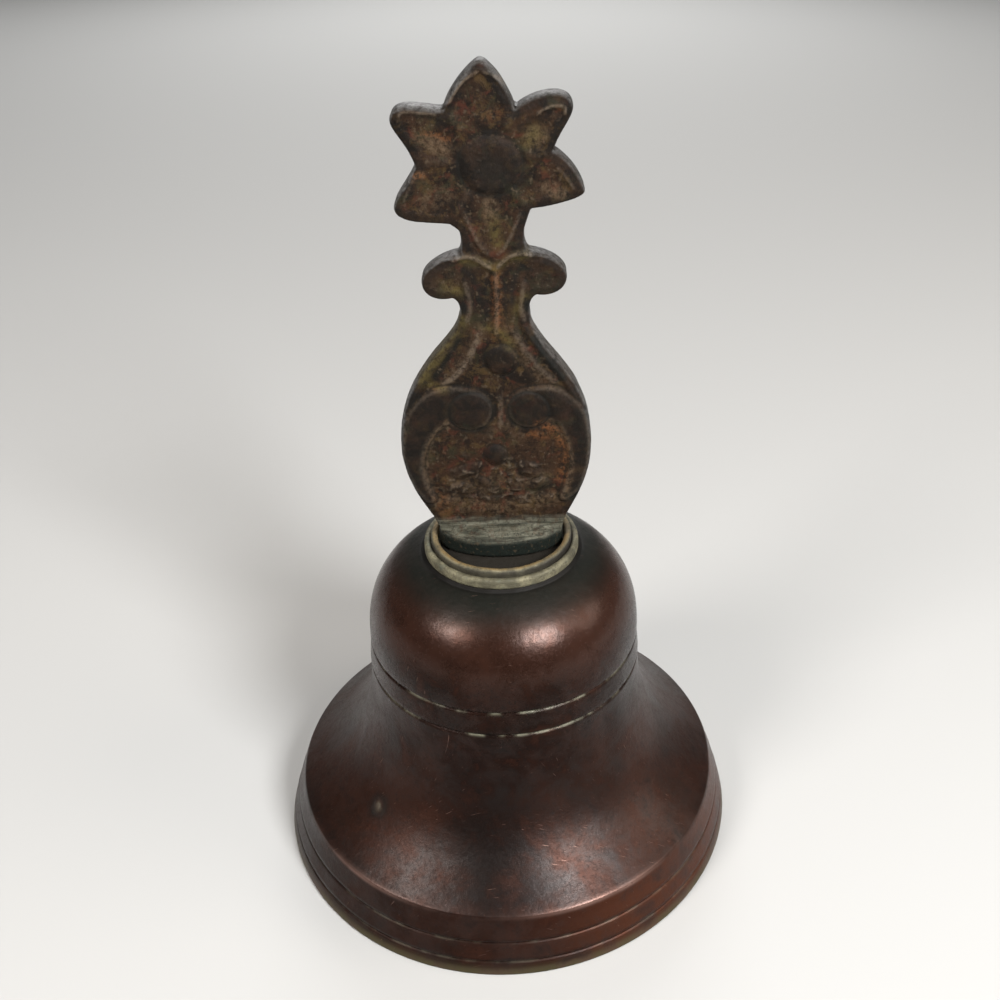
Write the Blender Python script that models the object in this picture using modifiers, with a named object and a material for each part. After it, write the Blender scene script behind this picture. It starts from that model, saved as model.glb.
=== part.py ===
"""Sanctus bell: a small hand bell with a cast flower handle and a clapper that swings freely inside.

Units are metres, +Z is up. The origin is the centre of the mouth, in the plane of the rim.
The handle is a flat casting in the XZ plane, and its front faces -Y.
"""

import math

import bmesh
import bpy
import numpy as np
from mathutils import Matrix, Vector

MM = 0.001

# ---- fits -----------------------------------------------------------------------------------
GAP = 0.3 * MM                 # between pieces that touch
BORE_PLAY = 0.3 * MM           # radial room round a rod or pin in its hole
CHEEK_PLAY = 0.4 * MM          # side room of the clapper's eye between the fork's cheeks
TURN_STEPS = 60                # facets round the bell
ROUND_STEPS = 48               # facets round the collar, the foot and the nut's chamfer
SMALL_STEPS = 24               # facets round small turned pieces

# ---- bell shell -----------------------------------------------------------------------------
MOUTH_R = 43.0 * MM            # outer radius of the rim
LIP_LINE_Z = (2.7 * MM, 6.15 * MM)   # two turned lines on the lip band
LIP_BATTER = 0.32              # how far the lip band leans in, per unit of height
SHOULDER_Z = 10.8 * MM         # sharp shoulder where the flare meets the lip band
WAIST_R = 24.25 * MM           # at the upper groove
WAIST_TAPER = 0.35 * MM        # the waist is this much wider at the lower groove
WAIST_GROOVE_Z = (37.7 * MM, 42.3 * MM)
GROOVE_DEPTH = 0.35 * MM
GROOVE_HALF = 0.45 * MM
DOME_RISE = 19.2 * MM          # height of the crown above the upper groove
DOME_POWER = 2.5               # 2 is an ellipse, more is boxier
WALL = 2.7 * MM
LIP_WALL = 3.0 * MM
CROWN_WALL = 3.2 * MM
SEAT_DEPTH = 0.25 * MM         # the crown is faced flat under the collar

# ---- crown collar ---------------------------------------------------------------------------
COLLAR_BAND = 2.4 * MM         # width of the two beads round the handle's recess
COLLAR_FLOOR = 0.9 * MM        # brass under the recess
COLLAR_INNER_BEAD = 3.0 * MM   # heights of the two beads above the collar's base
COLLAR_OUTER_BEAD = 1.9 * MM

# ---- handle ---------------------------------------------------------------------------------
PLATE_THICK = 4.4 * MM
EDGE_ROUND = 0.6 * MM
FOOT_HALF_WIDTH = 10.7 * MM    # oval foot, across the plate's width
FOOT_HALF_DEPTH = 5.8 * MM     # and across its thickness
FOOT_SIDE = 3.0 * MM           # upright side of the foot
FOOT_TOP = 4.6 * MM            # from the foot's underside to where it blends into the plate
FOOT_EDGE = (0.7 * MM, 0.5 * MM)     # the eased edge on top of its side: inward and up
FOOT_LEDGE = 0.55              # share of the foot's width that is flat on top
PLATE_RISE = 79.8 * MM         # from the foot's underside to the top petal's tip
RELIEF = 0.55 * MM             # how far the bosses stand proud of the plate
CASTING_SKEW = 0.03            # the casting is a little out of square: its right side sits higher

# ---- hanger bolt and its stack --------------------------------------------------------------
BOLT_R = 2.0 * MM
BOLT_GRIP = 3.7 * MM           # thread inside the handle's foot
NECK_R = 1.6 * MM              # plain neck that the fork turns on
RIVET_R = 2.6 * MM
RIVET_THICK = 1.2 * MM
LEATHER_R = 7.5 * MM
LEATHER_THICK = 1.2 * MM
WASHER_R = 5.6 * MM
WASHER_THICK = 0.8 * MM
NUT_FLATS = 7.0 * MM
NUT_THICK = 3.2 * MM
SWIVEL_WASHER_R = 3.4 * MM
SWIVEL_WASHER_THICK = 0.6 * MM

# ---- fork and clapper -----------------------------------------------------------------------
FORK_STRAP = 1.4 * MM          # thickness of the bent strap
FORK_WIDTH = 6.0 * MM
EYE_HALF = 2.6 * MM             # half length of the barrel-shaped eye on top of the clapper rod
EYE_R = 2.6 * MM
PIN_R = 1.1 * MM
PIN_HEAD_R = 1.9 * MM
PIN_HEAD_THICK = 0.9 * MM
EYE_CLEAR = 0.8 * MM           # between the eye and the rivet above it
CLAPPER_ROD_R = 1.4 * MM
BALL_R = 6.2 * MM
ROD_COLLAR_R = 2.4 * MM        # shoulder on the rod above the ball, and the riveted end below it
ROD_COLLAR_THICK = 1.1 * MM
ROD_RIVET_THICK = 0.9 * MM
BALL_LIFT = 1.3 * MM           # the rod's riveted end hangs this far above the rim's plane

# ---- sizes and heights that follow from the ones above --------------------------------------
SHOULDER_R = MOUTH_R - LIP_BATTER * SHOULDER_Z
WAIST_LOW_R = WAIST_R + WAIST_TAPER
RECESS_R = FOOT_HALF_WIDTH + GAP
COLLAR_R = RECESS_R + COLLAR_BAND
WAIST_Z = WAIST_GROOVE_Z[1]
SEAT_Z = WAIST_Z + DOME_RISE * (1 - (COLLAR_R / WAIST_R) ** DOME_POWER) ** (1 / DOME_POWER) - SEAT_DEPTH
CROWN_UNDER_Z = SEAT_Z - CROWN_WALL
COLLAR_Z = SEAT_Z + GAP
FOOT_Z = COLLAR_Z + COLLAR_FLOOR + GAP
BOLT_TOP_Z = FOOT_Z + BOLT_GRIP
LEATHER_TOP_Z = CROWN_UNDER_Z - GAP
WASHER_TOP_Z = LEATHER_TOP_Z - LEATHER_THICK - GAP
NUT_TOP_Z = WASHER_TOP_Z - WASHER_THICK - GAP
SWIVEL_WASHER_TOP_Z = NUT_TOP_Z - NUT_THICK - GAP
FORK_TOP_Z = SWIVEL_WASHER_TOP_Z - SWIVEL_WASHER_THICK - GAP
RIVET_TOP_Z = FORK_TOP_Z - FORK_STRAP - GAP
PIN_Z = RIVET_TOP_Z - RIVET_THICK - EYE_CLEAR - EYE_R
BALL_FLAT = math.sqrt(BALL_R ** 2 - (ROD_COLLAR_R + 0.2 * MM) ** 2)   # ball's middle to its flats
BALL_Z = BALL_LIFT + ROD_RIVET_THICK + GAP + BALL_FLAT


# ---- scene and small helpers ----------------------------------------------------------------
def clear_scene():
    for obj in list(bpy.data.objects):
        bpy.data.objects.remove(obj, do_unlink=True)


def collection(name):
    group = bpy.data.collections.new(name)
    bpy.context.scene.collection.children.link(group)
    return group


clear_scene()
PARTS = collection("sanctus_bell")
CUTTERS = collection("cutters")


def material(name, color, metallic, roughness):
    mat = bpy.data.materials.new(name)
    mat.use_nodes = True
    shader = mat.node_tree.nodes["Principled BSDF"]
    shader.inputs["Base Color"].default_value = (*color, 1.0)
    shader.inputs["Metallic"].default_value = metallic
    shader.inputs["Roughness"].default_value = roughness
    return mat


def add_object(name, mesh, group, mat=None, parent=None, origin=(0, 0, 0)):
    """Link a mesh given in world coordinates, with the object's own origin at the given point."""
    mesh.transform(Matrix.Translation(-Vector(origin)))
    obj = bpy.data.objects.new(name, mesh)
    group.objects.link(obj)
    if mat:
        mesh.materials.clear()
        mesh.materials.append(mat)
    if parent:
        obj.parent = parent
        obj.matrix_parent_inverse = Matrix.Identity(4)
        obj.location = Vector(origin) - Vector(world_place(parent))
    else:
        obj.location = origin
    return obj


def world_place(obj):
    place = Vector(obj.location)
    while obj.parent:
        obj = obj.parent
        place += Vector(obj.location)
    return place


def joint_empty(name, place, parent=None):
    empty = bpy.data.objects.new(name, None)
    PARTS.objects.link(empty)
    empty.empty_display_size = 4 * MM
    empty.location = Vector(place)
    if parent:
        empty.parent = parent
        empty.location = Vector(place) - world_place(parent)
    return empty


def as_cutter(obj):
    obj.hide_render = True
    obj.display_type = "WIRE"
    return obj


def boolean(obj, other, operation):
    mod = obj.modifiers.new(operation.title() + "_" + other.name, "BOOLEAN")
    mod.operation = operation
    mod.solver = "EXACT"
    mod.object = other


def smooth(obj, angle=35):
    obj.data.shade_smooth()
    obj.data.set_sharp_from_angle(angle=math.radians(angle))
    return obj


def evaluated_mesh(obj, flat_faces=False):
    """The object's mesh with its modifiers applied, in world coordinates, its loose caps welded.
    With flat_faces each flat side becomes one face."""
    graph = bpy.context.evaluated_depsgraph_get()
    mesh = bpy.data.meshes.new_from_object(obj.evaluated_get(graph), depsgraph=graph)
    mesh.transform(obj.matrix_world)
    work = bmesh.new()
    work.from_mesh(mesh)
    bmesh.ops.remove_doubles(work, verts=work.verts, dist=0.001 * MM)
    if flat_faces:
        bmesh.ops.dissolve_limit(work, angle_limit=math.radians(0.1), verts=work.verts, edges=work.edges)
    work.to_mesh(mesh)
    work.free()
    return mesh


def turned_mesh(name, profile, steps, closed):
    """A turned solid: (radius, height) points spun about Z. They run down the outer side, and a
    closed profile comes back up its bore."""
    mesh = bpy.data.meshes.new(name)
    count = len(profile)
    edges = [(i, i + 1) for i in range(count - 1)]
    if closed:
        edges.append((count - 1, 0))
    mesh.from_pydata([(r, 0.0, z) for r, z in profile], edges, [])
    obj = bpy.data.objects.new(name + "_profile", mesh)
    CUTTERS.objects.link(obj)
    screw = obj.modifiers.new("Screw", "SCREW")
    screw.axis = "Z"
    screw.angle = math.tau
    screw.steps = steps
    screw.render_steps = steps
    screw.use_merge_vertices = True
    screw.merge_threshold = 0.001 * MM
    result = evaluated_mesh(obj)
    bpy.data.objects.remove(obj, do_unlink=True)
    return result


def cylinder_mesh(name, radius, low, high, segments=SMALL_STEPS, matrix=None):
    """A capped cylinder along Z from low to high, or turned by the given matrix."""
    work = bmesh.new()
    place = Matrix.Translation((0, 0, (low + high) / 2))
    bmesh.ops.create_cone(work, cap_ends=True, segments=segments, radius1=radius, radius2=radius,
                          depth=high - low, matrix=(matrix or Matrix.Identity(4)) @ place)
    mesh = bpy.data.meshes.new(name)
    work.to_mesh(mesh)
    work.free()
    return mesh


FACING_FRONT = Matrix.Rotation(math.pi / 2, 4, "X")     # an outline's x and y become X and Z
FACING_SIDE = Matrix.Rotation(math.pi / 2, 4, "Z") @ FACING_FRONT    # and here Y and Z


def outline_mesh(name, points, thick, facing, edge_round=0.0):
    """A flat outline, filled and given its thickness both ways from its plane."""
    curve = bpy.data.curves.new(name, "CURVE")
    curve.dimensions = "2D"
    curve.fill_mode = "BOTH"
    curve.extrude = thick / 2 - edge_round
    curve.bevel_depth = edge_round
    curve.bevel_resolution = 1
    curve.offset = -edge_round
    spline = curve.splines.new("POLY")
    spline.points.add(len(points) - 1)
    for point, (across, up) in zip(spline.points, points):
        point.co = (across, up, 0.0, 1.0)
    spline.use_cyclic_u = True
    obj = bpy.data.objects.new(name, curve)
    CUTTERS.objects.link(obj)
    obj.matrix_world = facing
    bpy.context.view_layer.update()
    mesh = evaluated_mesh(obj, flat_faces=True)
    bpy.data.objects.remove(obj, do_unlink=True)
    return mesh


def ring_profile(inner_r, outer_r, top, thick, edge=0.15 * MM):
    """A flat washer's section with its outer corners eased."""
    low = top - thick
    return [(inner_r, top), (outer_r - edge, top), (outer_r, top - edge),
            (outer_r, low + edge), (outer_r - edge, low), (inner_r, low)]


def bezier(p0, c0, c1, p1, count):
    """Points along one cubic, without its first."""
    t = np.linspace(0, 1, count + 1)[1:, None]
    p0, c0, c1, p1 = (np.array(p, float) for p in (p0, c0, c1, p1))
    curve = (1 - t) ** 3 * p0 + 3 * t * (1 - t) ** 2 * c0 + 3 * t ** 2 * (1 - t) * c1 + t ** 3 * p1
    return [tuple(p) for p in curve]


# ---- bell shell -----------------------------------------------------------------------------
def dome_point(angle, radius, rise):
    """A point of the boxy dome: angle 0 at the waist, a quarter turn at the crown."""
    power = 2 / DOME_POWER
    return (radius * math.cos(angle) ** power, WAIST_Z + rise * math.sin(angle) ** power)


def dome_angle_at(radius):
    return math.acos((radius / WAIST_R) ** (DOME_POWER / 2))


def groove(radius, height, depth, half):
    """Four points of a turned groove in a nearly upright wall, from top to bottom."""
    return [(radius, height + half), (radius - depth, height + half * 0.4),
            (radius - depth, height - half * 0.4), (radius, height - half)]


def flare_points(count):
    low_groove = WAIST_GROOVE_Z[0] - GROOVE_HALF
    drop = low_groove - SHOULDER_Z
    start = (WAIST_LOW_R, low_groove)
    upper = (WAIST_LOW_R + 0.2 * MM, low_groove - 0.575 * drop)
    lower = (SHOULDER_R - 8.6 * MM, SHOULDER_Z + 0.222 * drop)
    return [start] + bezier(start, upper, lower, (SHOULDER_R, SHOULDER_Z), count)


def lip_r(height):
    return MOUTH_R - LIP_BATTER * height


def outer_profile():
    """The outside of the bell, from the edge of the crown's flat seat down to the rim."""
    seat_r = COLLAR_R + GAP
    start = dome_angle_at(seat_r)
    profile = [(seat_r, SEAT_Z)]
    steps = 8
    for i in range(steps):
        profile.append(dome_point(start * (1 - i / steps), WAIST_R, DOME_RISE))
    profile += groove(WAIST_R, WAIST_GROOVE_Z[1], GROOVE_DEPTH, GROOVE_HALF)
    profile += groove(WAIST_LOW_R, WAIST_GROOVE_Z[0], GROOVE_DEPTH, GROOVE_HALF)
    profile += flare_points(10)[1:]
    for height in reversed(LIP_LINE_Z):
        profile += groove(lip_r(height), height, 0.5 * GROOVE_DEPTH, 0.6 * GROOVE_HALF)
    profile += [(MOUTH_R, 0.5 * MM), (MOUTH_R - 0.5 * MM, 0.0)]
    return profile


def inner_profile():
    """The inside, from the rim up to the bolt hole: the outside moved in by the wall."""
    path = [dome_point(i * math.pi / 16, WAIST_R, DOME_RISE) for i in range(6, -1, -1)]
    path += flare_points(8)[:-1]
    path = np.array(path)
    along = np.gradient(path, axis=0)
    along /= np.linalg.norm(along, axis=1)[:, None]
    inward = np.stack([along[:, 1], -along[:, 0]], axis=1)
    inside = path + inward * WALL
    inside = inside[inside[:, 1] < CROWN_UNDER_Z - 0.4 * MM]
    up = [(MOUTH_R - LIP_WALL, 0.0)] + [tuple(p) for p in inside[::-1]]
    hole_r = BOLT_R + BORE_PLAY
    flat_r = 0.55 * inside[0][0]      # where the underside of the crown turns flat
    return up + [(flat_r, CROWN_UNDER_Z), (hole_r, CROWN_UNDER_Z), (hole_r, SEAT_Z)]


def build_bell_shell(mat):
    mesh = turned_mesh("bell_shell", outer_profile() + inner_profile(), TURN_STEPS, closed=True)
    smooth(add_object("bell_shell", mesh, PARTS, mat), 25)


def build_crown_collar(mat):
    """A stepped brass ring: an outer bead, a groove, an inner bead, and the handle's recess."""
    def arc(center_r, top, half, count=5):
        angles = [math.pi * i / (count - 1) for i in range(count)]
        return [(center_r - half * math.cos(a), top - half * (1 - math.sin(a))) for a in angles]

    bead = (COLLAR_R - RECESS_R) / 4
    inner = arc(RECESS_R + bead, COLLAR_Z + COLLAR_INNER_BEAD, bead)
    outer = arc(COLLAR_R - bead, COLLAR_Z + COLLAR_OUTER_BEAD, bead)
    hole_r = BOLT_R + BORE_PLAY
    floor_z = COLLAR_Z + COLLAR_FLOOR
    profile = [(hole_r, floor_z), (RECESS_R, floor_z)] + inner + outer[1:]
    profile += [(COLLAR_R, COLLAR_Z), (hole_r, COLLAR_Z)]
    mesh = turned_mesh("crown_collar", profile, ROUND_STEPS, closed=True)
    smooth(add_object("crown_collar", mesh, PARTS, mat), 30)


# ---- handle ---------------------------------------------------------------------------------
# The plate is drawn in millimetres: x, and height above the foot's underside.
DRAWN_RISE = 79.8
FLOWER_CENTER = (-0.2, 66.3)
# The petals were cut by hand, so no two match: tip angle in degrees, length, bluntness, fullness.
# Fullness is how far each side swells, clockwise side first.
PETALS = [(-21, 14.9, 1.0, (0.8, 1.6)), (33.3, 14.2, 2.1, (0.0, 1.9)), (93, 13.6, 1.0, (1.3, 1.6)),
          (153, 14.95, 2.1, (0.6, -0.5)), (208, 15.45, 1.95, (0.0, 0.5))]
# The notches between them: angle and distance from the flower's centre.
NOTCHES = [(-51, 9.6), (6, 9.45), (60, 8.05), (130, 9.4), (182.5, 10.4), (237.5, 11.0)]
# The casting sways a little from side to side: heights, and how far its middle lies from the axis.
SWAY_HEIGHTS = (5, 19, 36, 43, 51, 59)
SWAY = (0.2, -0.3, -0.5, 0.15, 0.25, 0.0)


def polar(center, angle, length):
    angle = math.radians(angle)
    return (center[0] + length * math.cos(angle), center[1] + length * math.sin(angle))


def petal_side(notch, tip, tip_angle, blunt, full, side, count):
    """From a notch out to a petal's tip. Side is +1 where the notch lies clockwise of the tip."""
    notch, tip = np.array(notch), np.array(tip)
    across = np.array([math.sin(math.radians(tip_angle)), -math.cos(math.radians(tip_angle))]) * side
    bulge = notch + 0.45 * (tip - notch) + full * across
    return bezier(notch, bulge, tip + blunt * across, tip, count)


def half_outline():
    """The right edge of the plate from its base to the flower: pear, waist, volute and neck."""
    foot = FOOT_HALF_WIDTH / MM
    edge = [(foot - 0.8, 1.2), (foot - 0.1, 4.5)]
    edge += bezier(edge[-1], (foot + 2.7, 9.4), (15.6, 13.5), (15.6, 19.5), 7)
    edge += bezier(edge[-1], (15.6, 32.9), (5.9, 37.1), (5.5, 42.3), 8)
    edge += bezier(edge[-1], (5.2, 43.2), (5.2, 44.9), (6.4, 45.5), 4)
    edge += bezier(edge[-1], (8.6, 45.0), (11.1, 46.0), (11.0, 48.4), 6)
    edge += bezier(edge[-1], (11.0, 50.2), (8.3, 52.0), (5.2, 52.5), 6)
    edge += bezier(edge[-1], (4.6, 53.6), (4.6, 55.0), (4.8, 56.0), 3)
    return edge


def plate_outline():
    """The whole outline in millimetres, anticlockwise seen from the front."""
    right = half_outline()
    outline = list(right)
    notches = [polar(FLOWER_CENTER, *notch) for notch in NOTCHES]
    outline.append(notches[0])
    for i, (angle, length, blunt, full) in enumerate(PETALS):
        tip = polar(FLOWER_CENTER, angle, length)
        outline += petal_side(notches[i], tip, angle, blunt, full[0], 1, 6)
        back = petal_side(notches[i + 1], tip, angle, blunt, full[1], -1, 6)
        outline += back[-2::-1] + [notches[i + 1]]
    outline += [(-x, z) for x, z in reversed(right)]
    sway = np.interp([z for x, z in outline], SWAY_HEIGHTS, SWAY)
    return [(x + aside, z + CASTING_SKEW * x) for (x, z), aside in zip(outline, sway)]


def plate_height(drawn):
    """A drawn height as metres above the foot's underside."""
    return drawn / DRAWN_RISE * PLATE_RISE


def plate_mesh():
    """The flat casting: a filled outline with rounded edges."""
    points = [(x * MM, FOOT_Z + plate_height(z)) for x, z in plate_outline()]
    return outline_mesh("handle_outline", points, PLATE_THICK, FACING_FRONT, EDGE_ROUND)


def foot_mesh():
    """The oval foot under the plate: an upright side, an eased edge and a sloping top."""
    top = FOOT_Z + FOOT_TOP
    side = FOOT_Z + FOOT_SIDE
    wide = FOOT_HALF_WIDTH
    inward, up = FOOT_EDGE
    profile = [(0, top), (FOOT_LEDGE * wide, top), (wide - inward, side + up), (wide, side),
               (wide, FOOT_Z), (0, FOOT_Z)]
    mesh = turned_mesh("handle_foot", profile, ROUND_STEPS, closed=False)
    mesh.transform(Matrix.Diagonal((1, FOOT_HALF_DEPTH / FOOT_HALF_WIDTH, 1, 1)))
    return mesh


# Round bosses that stand proud of both faces: x, height and radius as drawn.
BOSSES = [(0.2, 65.6, 4.2), (0.9, 35.0, 2.6), (-4.3, 26.2, 3.8), (5.1, 26.3, 3.6), (-0.5, 17.9, 1.9)]


def boss_mesh():
    """All the bosses: each is a flattened ball that pierces the plate and shows on both faces."""
    work = bmesh.new()
    reach = PLATE_THICK / 2 + RELIEF
    hidden = math.sqrt(1 - (PLATE_THICK / 2 / reach) ** 2)    # the part of the radius that shows
    for x, height, radius in BOSSES:
        place = Matrix.Translation((x * MM, 0, FOOT_Z + plate_height(height)))
        ball_r = radius * MM / hidden
        size = Matrix.Diagonal((ball_r, reach, ball_r, 1))
        bmesh.ops.create_uvsphere(work, u_segments=20, v_segments=10, radius=1.0, matrix=place @ size)
    mesh = bpy.data.meshes.new("handle_bosses")
    work.to_mesh(mesh)
    work.free()
    return mesh


def build_handle(mat):
    handle = add_object("handle", plate_mesh(), PARTS, mat)
    foot = as_cutter(add_object("handle_foot_block", foot_mesh(), CUTTERS))
    boolean(handle, foot, "UNION")
    bosses = as_cutter(add_object("handle_bosses", boss_mesh(), CUTTERS))
    boolean(handle, bosses, "UNION")
    bore_top = BOLT_TOP_Z + GAP
    bore = cylinder_mesh("handle_bore", BOLT_R + BORE_PLAY, FOOT_Z - 1 * MM, bore_top)
    boolean(handle, as_cutter(add_object("handle_bore", bore, CUTTERS)), "DIFFERENCE")
    smooth(handle, 30)


# ---- bolt, washers and nut ------------------------------------------------------------------
def build_hanger_bolt(mat):
    """Threaded into the handle's foot, down through collar and crown, with a riveted plain neck."""
    neck_z = SWIVEL_WASHER_TOP_Z + 0.5 * GAP
    low = RIVET_TOP_Z - RIVET_THICK
    ease = 0.3 * MM
    profile = [(0, BOLT_TOP_Z), (BOLT_R - ease, BOLT_TOP_Z), (BOLT_R, BOLT_TOP_Z - ease), (BOLT_R, neck_z),
               (NECK_R, neck_z), (NECK_R, RIVET_TOP_Z), (RIVET_R, RIVET_TOP_Z),
               (RIVET_R, RIVET_TOP_Z - 0.4 * RIVET_THICK), (0.7 * RIVET_R, low + 0.2 * MM), (0, low)]
    mesh = turned_mesh("hanger_bolt", profile, SMALL_STEPS, closed=False)
    smooth(add_object("hanger_bolt", mesh, PARTS, mat))


def build_washer(name, inner_r, outer_r, top, thick, mat, parent=None):
    mesh = turned_mesh(name, ring_profile(inner_r, outer_r, top, thick), SMALL_STEPS, closed=True)
    smooth(add_object(name, mesh, PARTS, mat, parent))


def build_clamp_nut(mat):
    corner_r = NUT_FLATS / math.sqrt(3)
    mesh = cylinder_mesh("clamp_nut", corner_r, NUT_TOP_Z - NUT_THICK, NUT_TOP_Z, segments=6)
    nut = add_object("clamp_nut", mesh, PARTS, mat)
    chamfer = 0.4 * MM
    low = NUT_TOP_Z - NUT_THICK
    wide = corner_r + chamfer
    cone = [(0, NUT_TOP_Z), (NUT_FLATS / 2, NUT_TOP_Z), (wide, NUT_TOP_Z - chamfer),
            (wide, low + chamfer), (NUT_FLATS / 2, low), (0, low)]
    cone_mesh = turned_mesh("nut_chamfer", cone, ROUND_STEPS, closed=False)
    boolean(nut, as_cutter(add_object("nut_chamfer", cone_mesh, CUTTERS)), "INTERSECT")
    bore = cylinder_mesh("nut_bore", BOLT_R + BORE_PLAY, low - NUT_THICK, NUT_TOP_Z + NUT_THICK)
    boolean(nut, as_cutter(add_object("nut_bore", bore, CUTTERS)), "DIFFERENCE")
    smooth(nut, 20)


# ---- fork and clapper -----------------------------------------------------------------------
AT_PIN = Matrix.Translation((0, 0, PIN_Z)) @ FACING_FRONT    # Z becomes the pin's axis, along Y


def build_clapper_fork(mat, swivel):
    """A strap bent over into two cheeks, with a hole on top for the neck and two for the pin."""
    inner = EYE_HALF + CHEEK_PLAY
    outer = inner + FORK_STRAP
    half = FORK_WIDTH / 2
    low = PIN_Z - half - 1 * MM
    under = FORK_TOP_Z - FORK_STRAP
    bend = 0.8 * MM
    section = [(outer, low), (outer, FORK_TOP_Z - bend), (outer - bend, FORK_TOP_Z),
               (bend - outer, FORK_TOP_Z), (-outer, FORK_TOP_Z - bend), (-outer, low),
               (-inner, low), (-inner, under), (inner, under), (inner, low)]
    strap = outline_mesh("clapper_fork", section, FORK_WIDTH + 2 * MM, FACING_SIDE)
    fork = add_object("clapper_fork", strap, PARTS, mat, swivel, (0, 0, FORK_TOP_Z))
    round_end = [(half * math.cos(a), PIN_Z - half * math.sin(a)) for a in np.linspace(0, math.pi, 13)]
    cheek = round_end + [(-half, FORK_TOP_Z + 1 * MM), (half, FORK_TOP_Z + 1 * MM)]
    sides = outline_mesh("fork_sides", cheek, 2 * outer + 2 * MM, FACING_FRONT)
    boolean(fork, as_cutter(add_object("fork_sides", sides, CUTTERS)), "INTERSECT")
    neck_r = NECK_R + BORE_PLAY
    neck_hole = cylinder_mesh("fork_neck_hole", neck_r, under - FORK_STRAP, FORK_TOP_Z + FORK_STRAP)
    boolean(fork, as_cutter(add_object("fork_neck_hole", neck_hole, CUTTERS)), "DIFFERENCE")
    pin_hole = cylinder_mesh("fork_pin_hole", PIN_R + BORE_PLAY, -2 * outer, 2 * outer, matrix=AT_PIN)
    boolean(fork, as_cutter(add_object("fork_pin_hole", pin_hole, CUTTERS)), "DIFFERENCE")
    smooth(fork)


def build_fork_pin(mat, swivel):
    """A rivet with a domed head outside each cheek."""
    reach = EYE_HALF + CHEEK_PLAY + FORK_STRAP + GAP
    tip = reach + PIN_HEAD_THICK
    crown = 0.15 * MM
    side = 0.25 * MM
    head = [(0, tip), (0.6 * PIN_HEAD_R, tip - crown), (PIN_HEAD_R, reach + side), (PIN_HEAD_R, reach),
            (PIN_R, reach)]
    profile = head + [(r, -z) for r, z in reversed(head)]
    mesh = turned_mesh("fork_pin", profile, SMALL_STEPS, closed=False)
    mesh.transform(AT_PIN)
    smooth(add_object("fork_pin", mesh, PARTS, mat, swivel, (0, 0, PIN_Z)))


def build_clapper_rod(mat, swing):
    """A wrought rod: flat eye, round shank, a shoulder above the ball and a riveted end below it."""
    shoulder = BALL_Z + BALL_FLAT + GAP
    rivet = BALL_Z - BALL_FLAT - GAP
    collar_top = shoulder + ROD_COLLAR_THICK
    rod_top = PIN_Z - 0.6 * EYE_R
    wide = ROD_COLLAR_R
    profile = [(0, rod_top), (CLAPPER_ROD_R, rod_top), (CLAPPER_ROD_R, collar_top + 0.6 * MM),
               (wide, collar_top), (wide, shoulder), (CLAPPER_ROD_R, shoulder),
               (CLAPPER_ROD_R, rivet), (wide - 0.3 * MM, rivet),
               (0.6 * wide, rivet - 0.8 * ROD_RIVET_THICK), (0, rivet - ROD_RIVET_THICK)]
    mesh = turned_mesh("clapper_rod", profile, SMALL_STEPS, closed=False)
    rod = add_object("clapper_rod", mesh, PARTS, mat, swing, (0, 0, PIN_Z))
    eye = cylinder_mesh("rod_eye", EYE_R, -EYE_HALF, EYE_HALF, matrix=AT_PIN)
    boolean(rod, as_cutter(add_object("rod_eye", eye, CUTTERS)), "UNION")
    hole = cylinder_mesh("rod_eye_hole", PIN_R + BORE_PLAY, -2 * EYE_HALF, 2 * EYE_HALF, matrix=AT_PIN)
    boolean(rod, as_cutter(add_object("rod_eye_hole", hole, CUTTERS)), "DIFFERENCE")
    smooth(rod)


def build_clapper_ball(mat, swing):
    """A turned ball with a bore through it, flat round both ends of the bore."""
    bore_r = CLAPPER_ROD_R + BORE_PLAY
    start = math.acos(BALL_FLAT / BALL_R)
    angles = [start + (math.pi - 2 * start) * i / 12 for i in range(13)]
    profile = [(bore_r, BALL_Z + BALL_FLAT)]
    profile += [(BALL_R * math.sin(a), BALL_Z + BALL_R * math.cos(a)) for a in angles]
    profile.append((bore_r, BALL_Z - BALL_FLAT))
    mesh = turned_mesh("clapper_ball", profile, SMALL_STEPS, closed=True)
    smooth(add_object("clapper_ball", mesh, PARTS, mat, swing, (0, 0, PIN_Z)))


def build_bell():
    bronze = material("bell_bronze", (0.075, 0.028, 0.020), 0.85, 0.36)
    casting = material("handle_bronze", (0.080, 0.045, 0.025), 0.75, 0.52)
    brass = material("collar_brass", (0.42, 0.36, 0.20), 0.6, 0.6)
    leather = material("washer_leather", (0.13, 0.07, 0.035), 0.0, 0.8)
    steel = material("fixing_steel", (0.32, 0.31, 0.30), 0.9, 0.45)
    iron = material("clapper_iron", (0.10, 0.085, 0.075), 0.8, 0.55)
    ball_brass = material("clapper_brass", (0.50, 0.36, 0.14), 0.9, 0.4)
    hole_r = BOLT_R + BORE_PLAY
    build_bell_shell(bronze)
    build_crown_collar(brass)
    build_handle(casting)
    build_hanger_bolt(steel)
    build_washer("leather_washer", hole_r, LEATHER_R, LEATHER_TOP_Z, LEATHER_THICK, leather)
    build_washer("steel_washer", hole_r, WASHER_R, WASHER_TOP_Z, WASHER_THICK, steel)
    build_clamp_nut(steel)
    swivel = joint_empty("swivel_axis", (0, 0, FORK_TOP_Z))
    swing = joint_empty("swing_axis", (0, 0, PIN_Z), swivel)
    build_washer("swivel_washer", NECK_R + BORE_PLAY, SWIVEL_WASHER_R, SWIVEL_WASHER_TOP_Z,
                 SWIVEL_WASHER_THICK, brass)
    build_clapper_fork(iron, swivel)
    build_fork_pin(iron, swivel)
    build_clapper_rod(iron, swing)
    build_clapper_ball(ball_brass, swing)


build_bell()
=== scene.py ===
"""The looks of the sanctus bell: patinated bronze, a relief-cast handle and a worn brass collar.

Everything is in metres, in the CAD model's frame. The profiles below are drawn in millimetres.
"""

import math

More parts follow.
